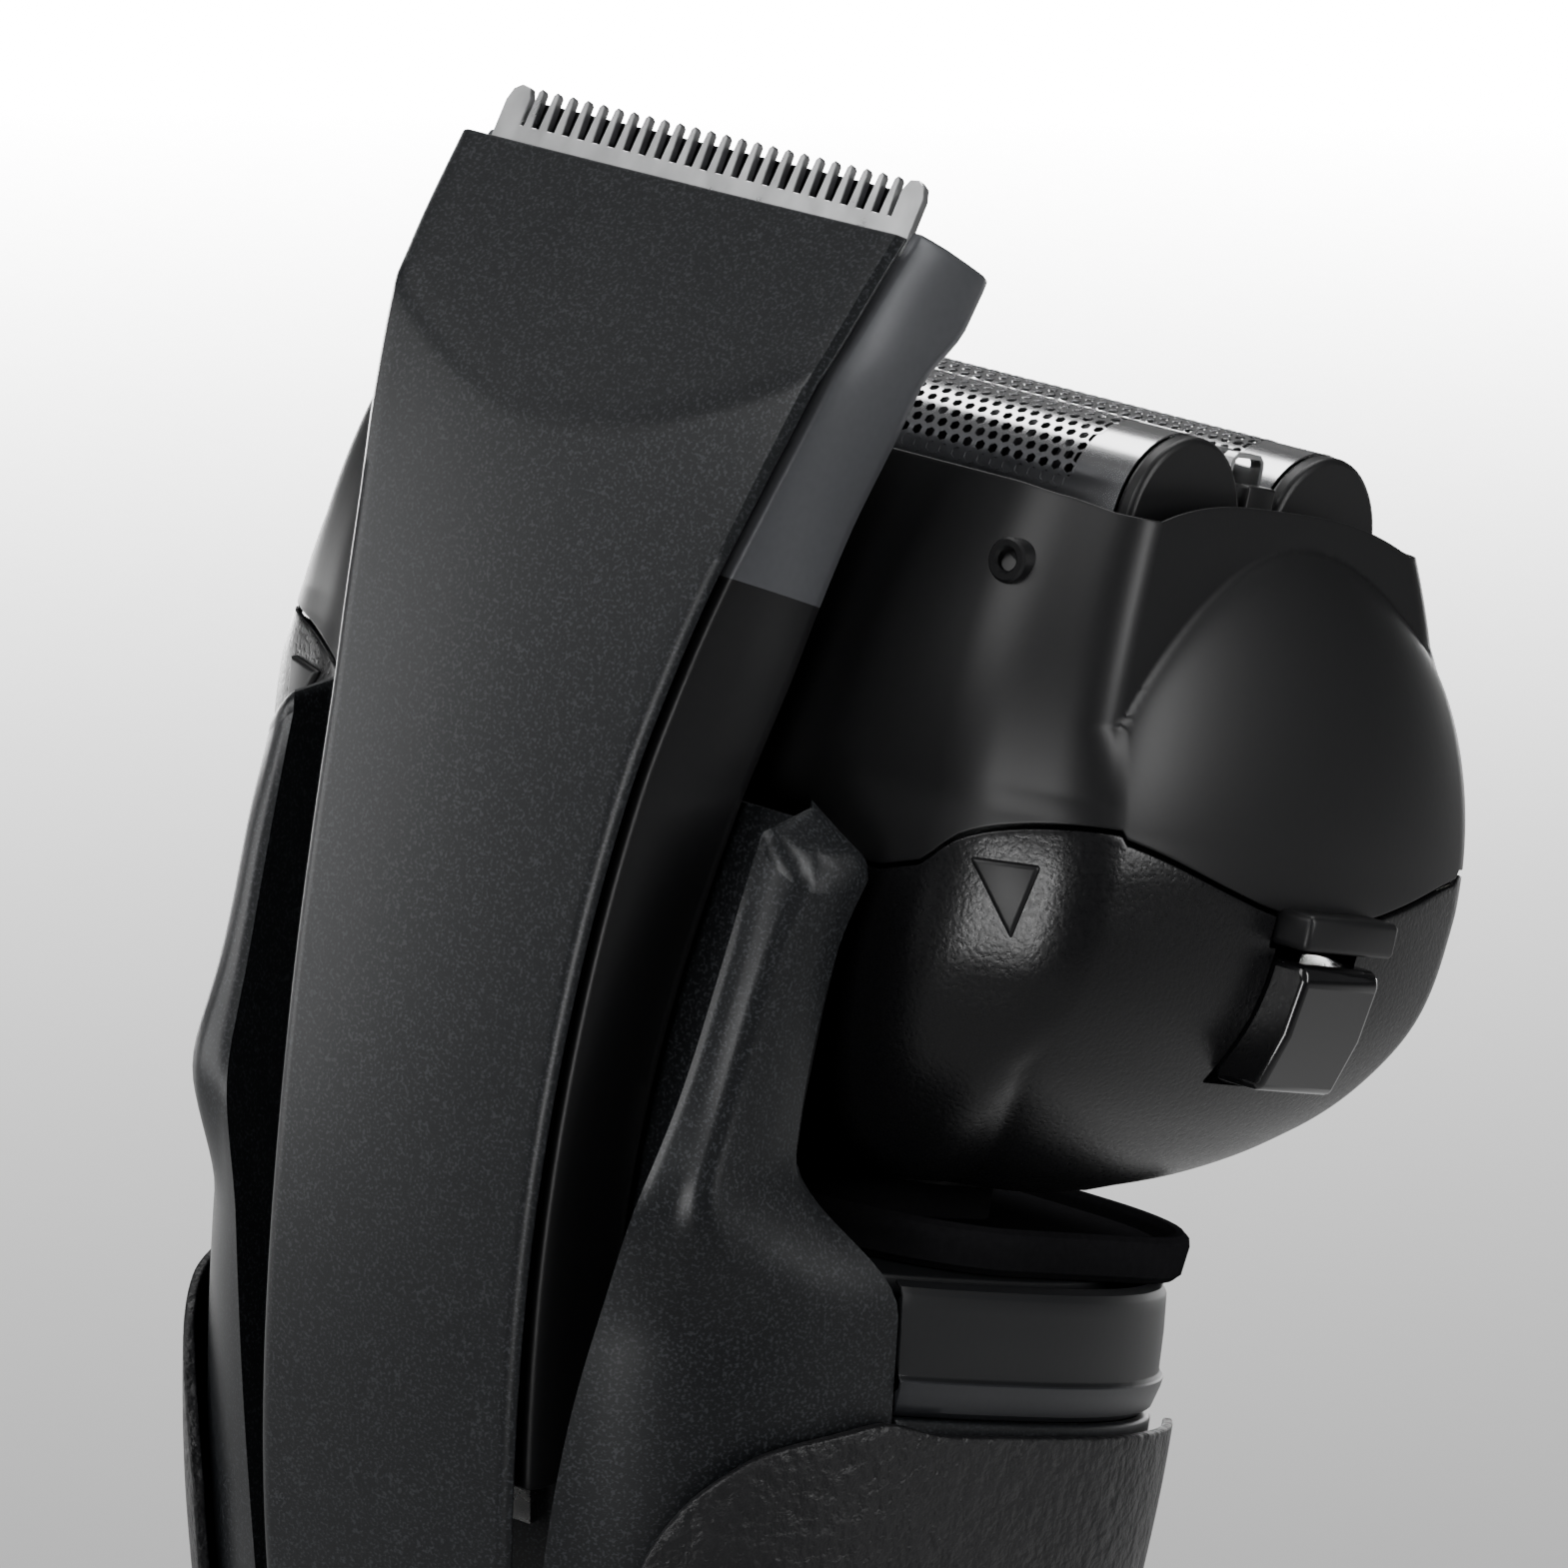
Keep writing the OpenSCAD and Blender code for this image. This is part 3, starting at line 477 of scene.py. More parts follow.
# %% [markdown]
# Nearly every moulding is a thin skin over a drawn surface. A grid primitive is
# carried onto the surface, given its wall by a solidify modifier that grows
# inwards, and its rims are rounded by a bevel. This keeps each piece one clean
# mesh whose form is set by a short function of two numbers. Hulls, plates and turned
# parts have no grid, so they are lofted through rings.

# %% Skins, lofts and plates


def skin(name, point, across, along, wall, closed=False, bevel=0.3, sharp=38):
    """A wall of a given thickness under the surface point(u, v), in millimetres."""
    bpy.ops.object.select_all(action="DESELECT")
    bpy.ops.mesh.primitive_grid_add(x_subdivisions=across, y_subdivisions=along, size=1)
    obj = bpy.context.object
    obj.name = obj.data.name = name
    for vertex in obj.data.vertices:
        vertex.co = Vector(point(vertex.co.x + 0.5, vertex.co.y + 0.5)) * MM
    if closed:
        merged(obj)
    if wall:
        add_modifier(obj, "SOLIDIFY", thickness=wall * MM, offset=-1,
                     use_even_offset=True, thickness_clamp=1.0)
    return soften(obj, bevel, sharp=sharp)


def shell(name, points, faces):
    """A mesh from points in millimetres, put in the scene."""
    mesh = bpy.data.meshes.new(name)
    mesh.from_pydata([Vector(p) * MM for p in points], [], faces)
    mesh.validate()
    obj = bpy.data.objects.new(name, mesh)
    bpy.context.collection.objects.link(obj)
    return obj


def loft(name, rings, closed=False):
    """Rings of points joined in turn. Both ends are capped, or meet where it is closed."""
    n = len(rings[0])
    faces = []
    for j in range(len(rings) if closed else len(rings) - 1):
        k = (j + 1) % len(rings)
        faces += [(j * n + i, j * n + (i + 1) % n, k * n + (i + 1) % n, k * n + i)
                  for i in range(n)]
    if not closed:
        faces += [tuple(range(n - 1, -1, -1)), tuple(range(n * (len(rings) - 1), n * len(rings)))]
    return shell(name, [p for ring in rings for p in ring], faces)


def prism(name, outline, low, high, carry=in_head, bevel=0.2, segments=3):
    """A straight plate between two heights over a closed outline, counterclockwise."""
    rings = [[carry(x, y, z) for x, y in outline] for z in (low, high)]
    return soften(loft(name, rings), bevel, segments)


def joined(name, objects):
    """Joins finished parts into one piece."""
    bpy.ops.object.select_all(action="DESELECT")
    for obj in objects:
        obj.select_set(True)
    bpy.context.view_layer.objects.active = objects[0]
    bpy.ops.object.join()
    objects[0].name = objects[0].data.name = name
    return objects[0]


print("skins, lofts and plates are ready")

# %% [markdown]
# A few measures along a piece say how it swells and narrows. They are read smoothly
# from a table, like a spline through a draughtsman's points, or evenly along a path.

# %% Reading measures


def table(x, rows):
    """Smooth reading of a table of (place, value) rows."""
    if x <= rows[0][0]:
        return rows[0][1]
    for i in range(len(rows) - 1):
        (x0, y0), (x1, y1) = rows[i], rows[i + 1]
        if x <= x1:
            t, width = (x - x0) / (x1 - x0), x1 - x0
            before = rows[max(i - 1, 0)]
            after = rows[min(i + 2, len(rows) - 1)]
            m0 = (y1 - before[1]) / max(x1 - before[0], 1e-6) * width
            m1 = (after[1] - y0) / max(after[0] - x0, 1e-6) * width
            return ((2 * t**3 - 3 * t**2 + 1) * y0 + (t**3 - 2 * t**2 + t) * m0
                    + (3 * t**2 - 2 * t**3) * y1 + (t**3 - t**2) * m1)
    return rows[-1][1]


def along_path(points, t):
    """A point that goes evenly from the first of the points to the last."""
    place = clamp(t) * (len(points) - 1)
    i = min(int(place), len(points) - 2)
    return tuple(mix(a, b, place - i) for a, b in zip(points[i], points[i + 1]))


print("halfway in a table:", table(0.5, [(0, 0), (1, 1)]))

# %% [markdown]
# The trimmer slides on a large arc behind the head, so its parts are drawn in
# polar form about the arc's centre. The cover is a crowned plate of charcoal
# plastic that narrows to a long tail. Its top is a flat facet that cuts the
# crowned panel in a shallow U.

# %% Trimmer cover
ARC_Y, ARC_Z = -100.0, 108.0
COVER_R, CROWN = 128.8, 300.0
COVER_LOW, COVER_HIGH = -8.1, 32.0
COVER_HALF = [(COVER_LOW, 8.6), (-6.5, 9.3), (5, 9.7), (11.7, 10.35), (16.6, 11.2),
              (19.1, 12.0), (22, 13.1), (24.5, 14.3), (28, 15.7), (32, 16.4)]
FACET, FACET_DROP, FACET_LEAN, FACET_STEP = 27.7, 2.7, 0.4, 0.12
ROLL_IN, ROLL_DROP = 0.7, 0.45


def on_arc(x, r, angle):
    a = math.radians(angle)
    return (x, ARC_Y + r * math.cos(a), ARC_Z + r * math.sin(a))


def cover_surface(x, half, angle):
    """Radius of the cover's outside: crowned, with the flat top facet."""
    crowned = COVER_R + (half * half - x * x) / CROWN
    edge_in = 1 - x * x / (half * half)
    over = angle - (FACET - FACET_DROP * edge_in)
    return crowned - max(over, 0) * FACET_LEAN - FACET_STEP * smooth(over + 0.2)


def cover_point(u, v):
    angle = mix(COVER_LOW, COVER_HIGH, v)
    half = table(angle, COVER_HALF)
    x = half * (1 - 2 * u)
    edge = clamp((abs(x) - half + ROLL_IN) / ROLL_IN)
    return on_arc(x, cover_surface(x, half, angle) - ROLL_DROP * edge * edge, angle)


cover = skin("trimmer_cover_skin", cover_point, 60, 150, 1.8, bevel=0.35)
settle(cover, ["trimmer_cover"], "trimmer", "charcoal_shell", charcoal)

# %% [markdown]
# Under the cover a solid grey frame carries the comb. Seen from the side it swells
# into a raised plate that follows the cover's flank and ends in a stepped lower
# corner. It is lofted through rings across the arc, like the hull of a boat. Below
# a set angle its faces take the black finish as painted shade, deep in the channel.

# %% Trimmer frame
FRAME_LOW, FRAME_HIGH, FRAME_RINGS = -2.2, 32.4, 90
FRAME_R0, FRAME_R1 = 119.5, 126.6
NOSE_ANGLE, NOSE_OUT = 28.8, 1.6
FLARE = [(-3, 0.1), (5, 0.3), (10, 0.8), (16, 1.7), (20, 1.9), (22, 1.6), (25, 0.9), (32, 0.6)]
FRAME_TURN, PAINTED_SHADE_ANGLE = 28.2, 22.3


def frame_ring(angle):
    half = table(angle, COVER_HALF)
    flare = table(angle, FLARE)
    top = FRAME_R1 - max(angle - FRAME_TURN, 0) * FACET_LEAN
    low = FRAME_R0 - NOSE_OUT * smooth((angle - NOSE_ANGLE) / 2.2)
    side = [(half - 0.5, top), (half - 0.1, top - 0.8), (half + flare * 0.45, low + 5),
            (half + flare * 0.85, low + 3), (half + flare, low + 1.4),
            (half + flare - 0.3, low + 0.5), (half + flare - 1.1, low)]
    return [(-x, r) for x, r in side] + [(x, r) for x, r in reversed(side)]


frame_angles = [mix(FRAME_LOW, FRAME_HIGH, j / FRAME_RINGS) for j in range(FRAME_RINGS + 1)]
hull = loft("trimmer_frame_body", [[on_arc(x, r, angle) for x, r in frame_ring(angle)]
                                   for angle in frame_angles])
soften(outward(hull), 0.25, 3, sharp=22, smooth_to=30)
settle(hull, ["trimmer_frame"], "trimmer", "grey_frame", grey_satin, frame_matte)
# Faces below the angle get the black finish: painted shade on the frame's flank in the channel
for face in hull.data.polygons:
    y, z = face.center.y / MM - ARC_Y, face.center.z / MM - ARC_Z
    if math.degrees(math.atan2(z, y)) < PAINTED_SHADE_ANGLE:
        face.material_index = 1

# %% [markdown]
# The comb is stamped from thin steel: two rounded guards with two dozen slender
# teeth between them, whose tips are a little narrower than their roots. A second
# blade with finer teeth shuttles just behind it, so dark teeth show in the gaps.

# %% Trimmer comb and its blade
COMB_R, COMB_ANGLE, COMB_HALF, COMB_BASE, TOOTH = 123.6, 31.2, 15.4, 3.1, 2.4
TEETH, BLADE_TEETH, GUARD = 24, 20, 1.7


def at_comb(x, y, z):
    """Comb axes: x along the blade, y up the teeth, z through it."""
    a = math.radians(COMB_ANGLE)
    radial = Vector((0, math.cos(a), math.sin(a)))
    ahead = Vector((0, -math.sin(a), math.cos(a)))
    base = Vector(on_arc(0, COMB_R, COMB_ANGLE))
    return base + Vector((-x, 0, 0)) + ahead * y + radial * z


def comb_outline(count, half, guard, root, tip, tall):
    """Bar with teeth, counterclockwise."""
    inner = half - guard
    right_guard = [(half, 0), (half, COMB_BASE + tall * 0.55),
                   (half - 0.25, COMB_BASE + tall * 0.86), (half - 0.75, COMB_BASE + tall),
                   (inner + 0.3, COMB_BASE + tall * 0.96), (inner, COMB_BASE + tall * 0.7),
                   (inner, COMB_BASE)]
    points = list(right_guard)
    pitch = 2 * inner / count
    for i in range(count):
        middle = inner - (i + 0.5) * pitch
        points += [(middle + root / 2, COMB_BASE), (middle + tip / 2, COMB_BASE + tall * 0.9),
                   (middle, COMB_BASE + tall), (middle - tip / 2, COMB_BASE + tall * 0.9),
                   (middle - root / 2, COMB_BASE)]
    return points + [(-x, y) for x, y in reversed(right_guard)]


comb = prism("trimmer_comb_teeth", comb_outline(TEETH, COMB_HALF, GUARD, 0.62, 0.4, TOOTH),
             1.05, 1.62, at_comb, bevel=0.05, segments=1)
settle(comb, ["trimmer_comb"], "trimmer", "blade_steel", blade_steel)
blade = prism("trimmer_blade_teeth",
              comb_outline(BLADE_TEETH, COMB_HALF - GUARD, 0.9, 0.75, 0.55, TOOTH - 0.7),
              0.35, 0.98, at_comb, bevel=0.05, segments=1)
settle(blade, ["trimmer_cutter"], "trimmer_blade", "blade_steel", dark_steel)

# %% [markdown]
# The handle's section is flattened like a superellipse, wider at the back than at
# the front, and its size changes with height. The front and rear housings, the
# grips, the glossy panel and the collar all lie on that same form.

# %% The handle's form
HALF_WIDTH = [(0, 16), (12, 17.2), (35, 18.8), (60, 20.3), (80, 21.8), (95, 23.2), (104, 23.5),
              (150, 23.5)]
FRONT_FACE = [(0, -15), (20, -17), (45, -18.5), (70, -21.5), (85, -24.5), (97, -27.2), (110, -29)]
FRONT_POWER, BACK_POWER = 2.5, 3.0
CHANNEL_Z, DEEP_Z = 65.0, 77.0
SHALLOW_R, DEEP_R, WING_WALL = 125.4, 118.6, 1.1
BASE_BACK, FLOOR_Z, SHOULDER_Z, COLLAR_LOW, COLLAR_TOP = 15.5, 3.0, 104.0, -36.0, -28.0
SEAM_A, SEAM_SLIT = 14.0, 0.5


def arc_y(r, z):
    return ARC_Y + math.sqrt(r * r - (z - ARC_Z) ** 2)


def back_face(z):
    below = max(CHANNEL_Z - z, 0)
    slope = (ARC_Z - CHANNEL_Z) / (arc_y(COVER_R, CHANNEL_Z) - ARC_Y)
    bend = (BASE_BACK - arc_y(COVER_R, CHANNEL_Z) + slope * CHANNEL_Z) / CHANNEL_Z**2
    return arc_y(COVER_R, max(z, CHANNEL_Z)) - slope * below + bend * below * below


def section(z, angle, out=0.0):
    c, s = math.cos(math.radians(angle)), math.sin(math.radians(angle))
    power = 2 / (BACK_POWER if s > 0 else FRONT_POWER)
    depth = (back_face(z) if s > 0 else -table(z, FRONT_FACE)) + out
    width = table(z, HALF_WIDTH) + out
    return (math.copysign(abs(c) ** power, c) * width, math.copysign(abs(s) ** power, s) * depth)


def collar_plane(y, h=COLLAR_LOW):
    return HEAD_Z + h / math.cos(LEAN) + math.tan(LEAN) * (y + HEAD_FWD)


def on_handle(angle, v, out=0.0, low=FLOOR_Z, drop=0.0):
    """A point of the wall at an angle, from a low height (0) to the collar (1)."""
    guess = section(mix(low, SHOULDER_Z, v), angle, out)
    x, y = section(mix(low, collar_plane(guess[1]) - drop, v), angle, out)
    return (x, y, mix(low, collar_plane(y) - drop, v))


def front_angle(u, gap=SEAM_SLIT):
    """Goes round the front from one seam to the other, a slit short of both."""
    return mix(180 - SEAM_A + gap, 360 + SEAM_A - gap, u)


print("collar plane in the middle:", round(collar_plane(0), 1), "mm up")

# %% [markdown]
# The front housing is one half shell. It could be cut from a solid, but a skin with
# an even wall is what a mould gives. It ends just short of the seams, which leaves
# the fine slit of a real joint.

# %% Front housing
front = skin("front_shell", lambda u, v: on_handle(front_angle(u), v), 120, 70, 1.8, bevel=0.25)
settle(front, ["front_housing"], "handle", "front_shell", charcoal)

# %% [markdown]
# The rear housing carries the trimmer's channel. Above the collar its flanks sweep
# in an S to become two wings that hug the trimmer. The wall is drawn from a low
# section and a high one, and blended between them over the shoulder.

# %% Rear housing
CHANNEL_EDGE = [(64, 10.2), (80, 10.3), (95, 10.8), (108, 12.4), (125, 15.6), (144, 17.2)]
WING_EDGE = [(112, 21), (116, 20.4), (120, 19.9), (128, 19.7), (138, 20.3), (144, 20.8)]
WING_BACK = [(115, 27.6), (121, 26.3), (128, 23.6), (135, 21.4), (142, 19.2), (144, 18.4)]
HALF_STEPS, CHANNEL_STEPS, SWEEP_START, SWEEP_RUN = 26, 6, 113.6, 10.5
LEVELS_LOW, LEVELS_HIGH = 64, 80
SLOPE, SLOPE_X, SLOPE_Z, SLOPE_RUN = 0.9, 17.2, 134.0, 10.0
TIP_Z, TIP_RISE = 142.2, [(0, 0), (0.5, 0.06), (0.95, 0.25), (1.35, 0.6), (1.6, 1.0), (1.7, 1.5)]
REAR_LEVELS = ([mix(FLOOR_Z, LEVELS_LOW, i / 20) for i in range(21)]
               + [65.6, 67, 70, 73, 76, 76.8, 77.2, 78]
               + [mix(LEVELS_HIGH, TIP_Z, i / 72) for i in range(73)])


def angle_of(x, z):
    """The angle at which the handle's back is x wide."""
    return math.degrees(math.acos((x / table(z, HALF_WIDTH)) ** (BACK_POWER / 2)))


def rear_half(z):
    """Half a section of the rear wall: from the seam round to the channel's middle."""
    xe = table(z, CHANNEL_EDGE)
    to_wing = smooth((z - SWEEP_START) / SWEEP_RUN)
    ys, xo = arc_y(DEEP_R - WING_WALL, z) + 0.1, table(z, WING_EDGE)
    yb = table(z, WING_BACK)
    high = [(xo - 0.5, ys), (xo - 0.1, ys + 0.5), (xo, mix(ys, yb, 0.35)),
            (xo - 0.1, mix(ys, yb, 0.6)), (xo - 0.4, yb - 1.4), (xo - 1.0, yb - 0.6),
            (xo - 1.9, yb - 0.15), (xe + 0.9, yb), (xe + 0.3, yb - 0.1)]
    wall = []
    for k in range(HALF_STEPS + 1):
        t = k / HALF_STEPS
        low = section(z, mix(SEAM_A, angle_of(xe, z), t))
        wall.append(tuple(mix(a, b, to_wing) for a, b in zip(low, along_path(high, t))))
    if z > CHANNEL_Z:
        floor = arc_y(SHALLOW_R if z < DEEP_Z else DEEP_R, z)
        inner = [(xe - 0.1, floor + 0.5), (xe - 0.5, floor)]
        inner += [((xe - 0.5) * (1 - k / 4), floor) for k in range(1, 5)]
    else:
        inner = []
        for k in range(CHANNEL_STEPS):
            x = xe * (1 - k / (CHANNEL_STEPS - 1))
            inner.append((x, section(z, angle_of(x, z))[1]))
    return wall + inner


def wing_slope(x, y, z):
    """The wings' tops fall away outwards."""
    return (x, y, z - SLOPE * max(abs(x) - SLOPE_X, 0) * smooth((z - SLOPE_Z) / SLOPE_RUN))


rear_rows = []
for z in REAR_LEVELS:
    half_row = rear_half(z)
    half_row += [(-x, y) for x, y in reversed(half_row[:-1])]
    rear_rows.append([wing_slope(x, y, z) for x, y in half_row])
last = len(rear_rows[0]) - 1


def rear_point(u, v):
    return rear_rows[round(v * (len(rear_rows) - 1))][round(u * last)]


def wing_tip(flip):
    """A solid rounded end that closes the wing between its wall and the channel."""
    outline = rear_half(TIP_Z)[:HALF_STEPS + 3]
    middle = [sum(p[k] for p in outline) / len(outline) for k in (0, 1)]
    rings = []
    for rise, inset in TIP_RISE:
        shares = [1 - inset / max(math.dist(p, middle), inset + 0.3) for p in outline]
        rings.append([wing_slope(flip * mix(middle[0], x, share), mix(middle[1], y, share),
                                 TIP_Z + rise) for (x, y), share in zip(outline, shares)])
    return soften(outward(loft("wing_tip", rings)))


rear = skin("rear_shell", rear_point, last, len(rear_rows) - 1, 1.1, bevel=0.0, sharp=45)
rear = joined("rear_shell", [rear, wing_tip(1), wing_tip(-1)])
settle(rear, ["rear_housing"], "handle", "charcoal_shell", charcoal)

# %% [markdown]
# The collar is a grey ring set on the front housing. It has a lighter chamfered
# band at its foot and a rounded lip on top. It is drawn as a profile of (height,
# growth) that runs round the handle's form.

# %% Collar
COLLAR_ROWS = [(-35.9, -0.5), (-35.5, -0.05), (-34.2, 0.32), (-33.7, 0.4), (-33.4, 0.12),
               (-33.1, 0.1), (-31, 0.1), (-28.8, 0.0), (-28.3, -0.25), (-28.0, -0.8)]
BAND_TOP = -33.6


def collar_point(u, v):
    angle = front_angle(u)
    h, out = along_path(COLLAR_ROWS, v)
    guess = section(SHOULDER_Z, angle, out)
    x, y = section(collar_plane(guess[1], h), angle, out)
    return (x, y, collar_plane(y, h))


collar = skin("shoulder_ring", collar_point, 120, 27, 2.0, bevel=0.15)
settle(collar, ["shoulder_collar"], "handle", "shoulder_grey", shoulder_grey, shoulder_light)
for face in collar.data.polygons:
    depth, height = face.center.y / MM, face.center.z / MM
    if height < collar_plane(depth, BAND_TOP):
        face.material_index = 1

# %% [markdown]
# The deck and the dish stand in the head's axes, since the neck leans with the head.
# The dish is a stack of rounded rings, so its rim and its shroud are one surface,
# and the same ring function serves the skirt that hangs into it.

# %% Deck and neck dish
DECK_LOW, DECK_TOP, DECK_Z, DECK_IN, DECK_STEPS = -29.3, -28.1, 107, 2.75, 40


def deck_outline():
    rim = []
    for i in range(DECK_STEPS + 1):
        x, y = section(DECK_Z, front_angle(i / DECK_STEPS, 1), -DECK_IN)
        rise = collar_plane(y, COLLAR_TOP) - HEAD_Z
        rim.append((x, (y + HEAD_FWD) * math.cos(LEAN) + rise * math.sin(LEAN)))
    return rim + [(19.6, 16), (17.6, 18.8), (-17.6, 18.8), (-19.6, 16)]


deck = prism("shoulder_floor", deck_outline(), DECK_LOW, DECK_TOP, bevel=0.2)
settle(deck, ["shoulder_deck"], "handle", "shoulder_grey", shoulder_grey)

# Rings of the dish and of the shroud inside it: half width, half depth, middle, height
NECK_MID, SHROUD_MID, RING_STEPS = -6.5, -1.9, 12
NECK_RINGS = [(18, 15.6, NECK_MID, -28.15), (20.0, 17.6, NECK_MID, -28.0),
              (20.3, 17.9, NECK_MID, -27.6), (20.4, 18.0, NECK_MID, -26.0),
              (20.3, 17.9, NECK_MID, -25.5), (20.0, 17.6, NECK_MID, -25.2),
              (19.6, 17.2, NECK_MID, -25.25), (19.3, 16.9, NECK_MID, -25.6),
              (19.0, 16.6, NECK_MID, -26.2), (12.7, 8.8, SHROUD_MID, -26.2),
              (12.5, 8.6, SHROUD_MID, -21.7), (12.0, 8.1, SHROUD_MID, -21.3),
              (11.5, 7.6, SHROUD_MID, -21.6), (11.4, 7.5, SHROUD_MID, -26.2),
              (6.0, 6.0, -2.0, -26.25)]


def rounded_box(half_x, half_y, radius, middle):
    corners = [(1, 1), (-1, 1), (-1, -1), (1, -1)]
    turns = [(q, math.radians(90 * (q + i / RING_STEPS)))
             for q in range(4) for i in range(RING_STEPS + 1)]
    return [(corners[q][0] * (half_x - radius) + radius * math.cos(a),
             middle + corners[q][1] * (half_y - radius) + radius * math.sin(a)) for q, a in turns]


def ring_skin(name, rings, roundness, widest, along, wall):
    """A skin through rings, whose corner radius is a share of the half depth."""
    def point(u, v):
        half_x, half_y, middle, z = along_path(rings, v)
        outline = rounded_box(half_x, half_y, min(widest, half_y * roundness), middle)
        return in_head(*outline[round(u * len(outline)) % len(outline)], z)

    return skin(name, point, 4 * (RING_STEPS + 1), along, wall, closed=True, bevel=0)


neck = ring_skin("neck_dish", NECK_RINGS, 0.62, 11, 56, 0.0)
settle(neck, ["neck_plate"], "handle", "neck_black", dish_rubber)

# %% [markdown]
# The grips are thick rubber laid over the housings. They follow the collar along
# the side, then sweep down in an arc at the back. The edge is well rounded, so the
# crinkled skin seems to roll under.

# %% Grips
GRIP_LOW, GRIP_OUT, GRIP_WALL, GRIP_FRONT, GRIP_BACK = 6.0, 1.3, 1.0, -44, 58
GRIP_ARC = [(15, 108), (34, 107.4), (42, 106), (48, 104.2), (54, 101), (58, 96.5)]


def grip_top(angle):
    low = collar_plane(section(100, angle)[1]) - 0.5
    return mix(low, table(angle, GRIP_ARC), smooth((angle - 8) / 12))


def grip_point(u, v):
    angle = mix(GRIP_FRONT, GRIP_BACK, u)
    z = mix(GRIP_LOW, grip_top(angle), v)
    return (*section(z, angle, GRIP_OUT), z)


def mirrored_grip(u, v):
    x, y, z = grip_point(1 - u, v)
    return (-x, y, z)


for side_name, point in (("right", grip_point), ("left", mirrored_grip)):
    grip = skin("grip_skin_" + side_name, point, 70, 130, GRIP_WALL, bevel=0.5)
    settle(grip, ["grip_" + side_name], "handle", "grip_rubber", leather_rubber)

# %% [markdown]
# The front carries one long glossy panel with a round metal power button in a
# polished bezel. The panel's hole is cut by a cylinder, as a die would.

# %% Front panel, bezel and button
BUTTON_Z, BUTTON_OUT, BUTTON_SLOPE = 78.0, 24.6, math.radians(11.3)
PANEL_LOW, PANEL_DROP, PANEL_OUT, PANEL_EDGE, PANEL_WALL, HOLE_R = 9, 5, 1.5, 52, 1.0, 9.0


def at_button(x, y, z):
    """Axes of the button: z points out of the handle."""
    turn = math.pi / 2 + BUTTON_SLOPE
    return Vector((x, y * math.cos(turn) - z * math.sin(turn) - BUTTON_OUT,
                   y * math.sin(turn) + z * math.cos(turn) + BUTTON_Z))


def turned(name, profile, carry, steps=72, bevel=0.0):
    """A closed profile of (radius, height) turned about an axis."""
    turns = [2 * math.pi * k / steps for k in range(steps)]
    rings = [[carry(r * math.cos(a), r * math.sin(a), h) for r, h in profile] for a in turns]
    return soften(outward(merged(loft(name, rings, closed=True), 0.000001)), bevel)


def panel_point(u, v):
    angle = mix(180 + PANEL_EDGE, 360 - PANEL_EDGE, u)
    return on_handle(angle, v, PANEL_OUT, PANEL_LOW, PANEL_DROP)


panel = skin("gloss_panel", panel_point, 70, 110, PANEL_WALL, bevel=0)
carve(panel, turned("panel_cutter", [(0, -8), (HOLE_R, -8), (HOLE_R, 8), (0, 8)], at_button, 96))
soften(panel, 0.25, 3, sharp=50)
settle(panel, ["front_panel"], "handle", "panel_gloss", dark_gloss)

BEZEL = [(7.3, -3.4), (8.7, -3.4), (8.7, 0.0), (8.4, 0.35), (7.9, 0.4), (7.4, 0.1)]
DISHED = [(0, -3), (7, -3), (7, 0), (6.7, 0.3), (6, 0.45), (3, 0.3), (0, 0.22)]
bezel = turned("polished_bezel", BEZEL, at_button)
settle(bezel, ["button_bezel"], "handle", "bezel_metal", bezel_metal)
button = turned("domed_button", DISHED, at_button)
settle(button, ["power_button"], "power_button", "button_metal", button_metal)

# %% [markdown]
# The bottom is a black cap whose edge turns under. It follows the handle's section
# a little inside it. A box cuts the hole through which the charging inlet is seen.

# %% Base cap
CAP_SHARE, CAP_GAP, INLET = 0.985, 0.1, (12.4, 8.4, 12)


def upright(x, y, z):
    return Vector((x, y, z))


cap_rim = [section(FLOOR_Z, 5 * i) for i in range(72)]
cap = prism("foot_cap", [(x * CAP_SHARE, y * CAP_SHARE) for x, y in cap_rim], 0, FLOOR_Z - CAP_GAP,
            upright, bevel=0.7, segments=4)
bpy.ops.object.select_all(action="DESELECT")
bpy.ops.mesh.primitive_cube_add(size=1, location=(0, 0, 0))
inlet = bpy.context.object
for vertex in inlet.data.vertices:
    vertex.co = Vector([part * size * MM for part, size in zip(vertex.co, INLET)])
carve(cap, inlet)
settle(cap, ["base_cap"], "handle", "cap_black", frame_matte)

# %% [markdown]
# The head is a short bowl with flat chamfered corners, and a dome bulges from each
# end under an arched crease. One function gives a point of its outside for a column
# of the outline and a height, so the base and the foil frame meet along the same
# seam. Columns near a corner follow a small curve, which rounds the edge.

# %% The head's form
HEAD_W, HEAD_D, HEAD_MID = 29.5, 17.75, -1.75
LONG_W, LONG_D, TOP_Z, RIM_Z = 23.3, 21.25, 19.0, 18.0
DOME_OUT, DOME_R, DOME_Y, DOME_Z, DOME_POWER = 4.5, 21.4, -4.6, -4.4, 0.62
BUTTON_Y, CHIN_LOW, SEAM_GAP = -3.4, -23.4, 0.15
CHIN = [(-24, 0.51), (-21, 0.70), (-17, 0.84), (-13.5, 0.92), (-9, 0.98), (-3, 1), (0, 1)]
FRONT_REACH, END_SEAM = 16.1, [(0, -3.3), (4.5, -3.3), (9, -2.4), (15, -0.9), (19.4, -0.05)]
SIDE_SEAM = [(0, -5), (19.5, -5), (21.5, -4), (23.3, -2.2), (26, -0.9), (29.5, 0)]
CORNER_T, CHAMFER_IN, KNEE_IN, CLOSE_W, CLOSE_D, ENDS_AT = 0.9, 0.3, 2.0, 0.07, 0.25, 19.4


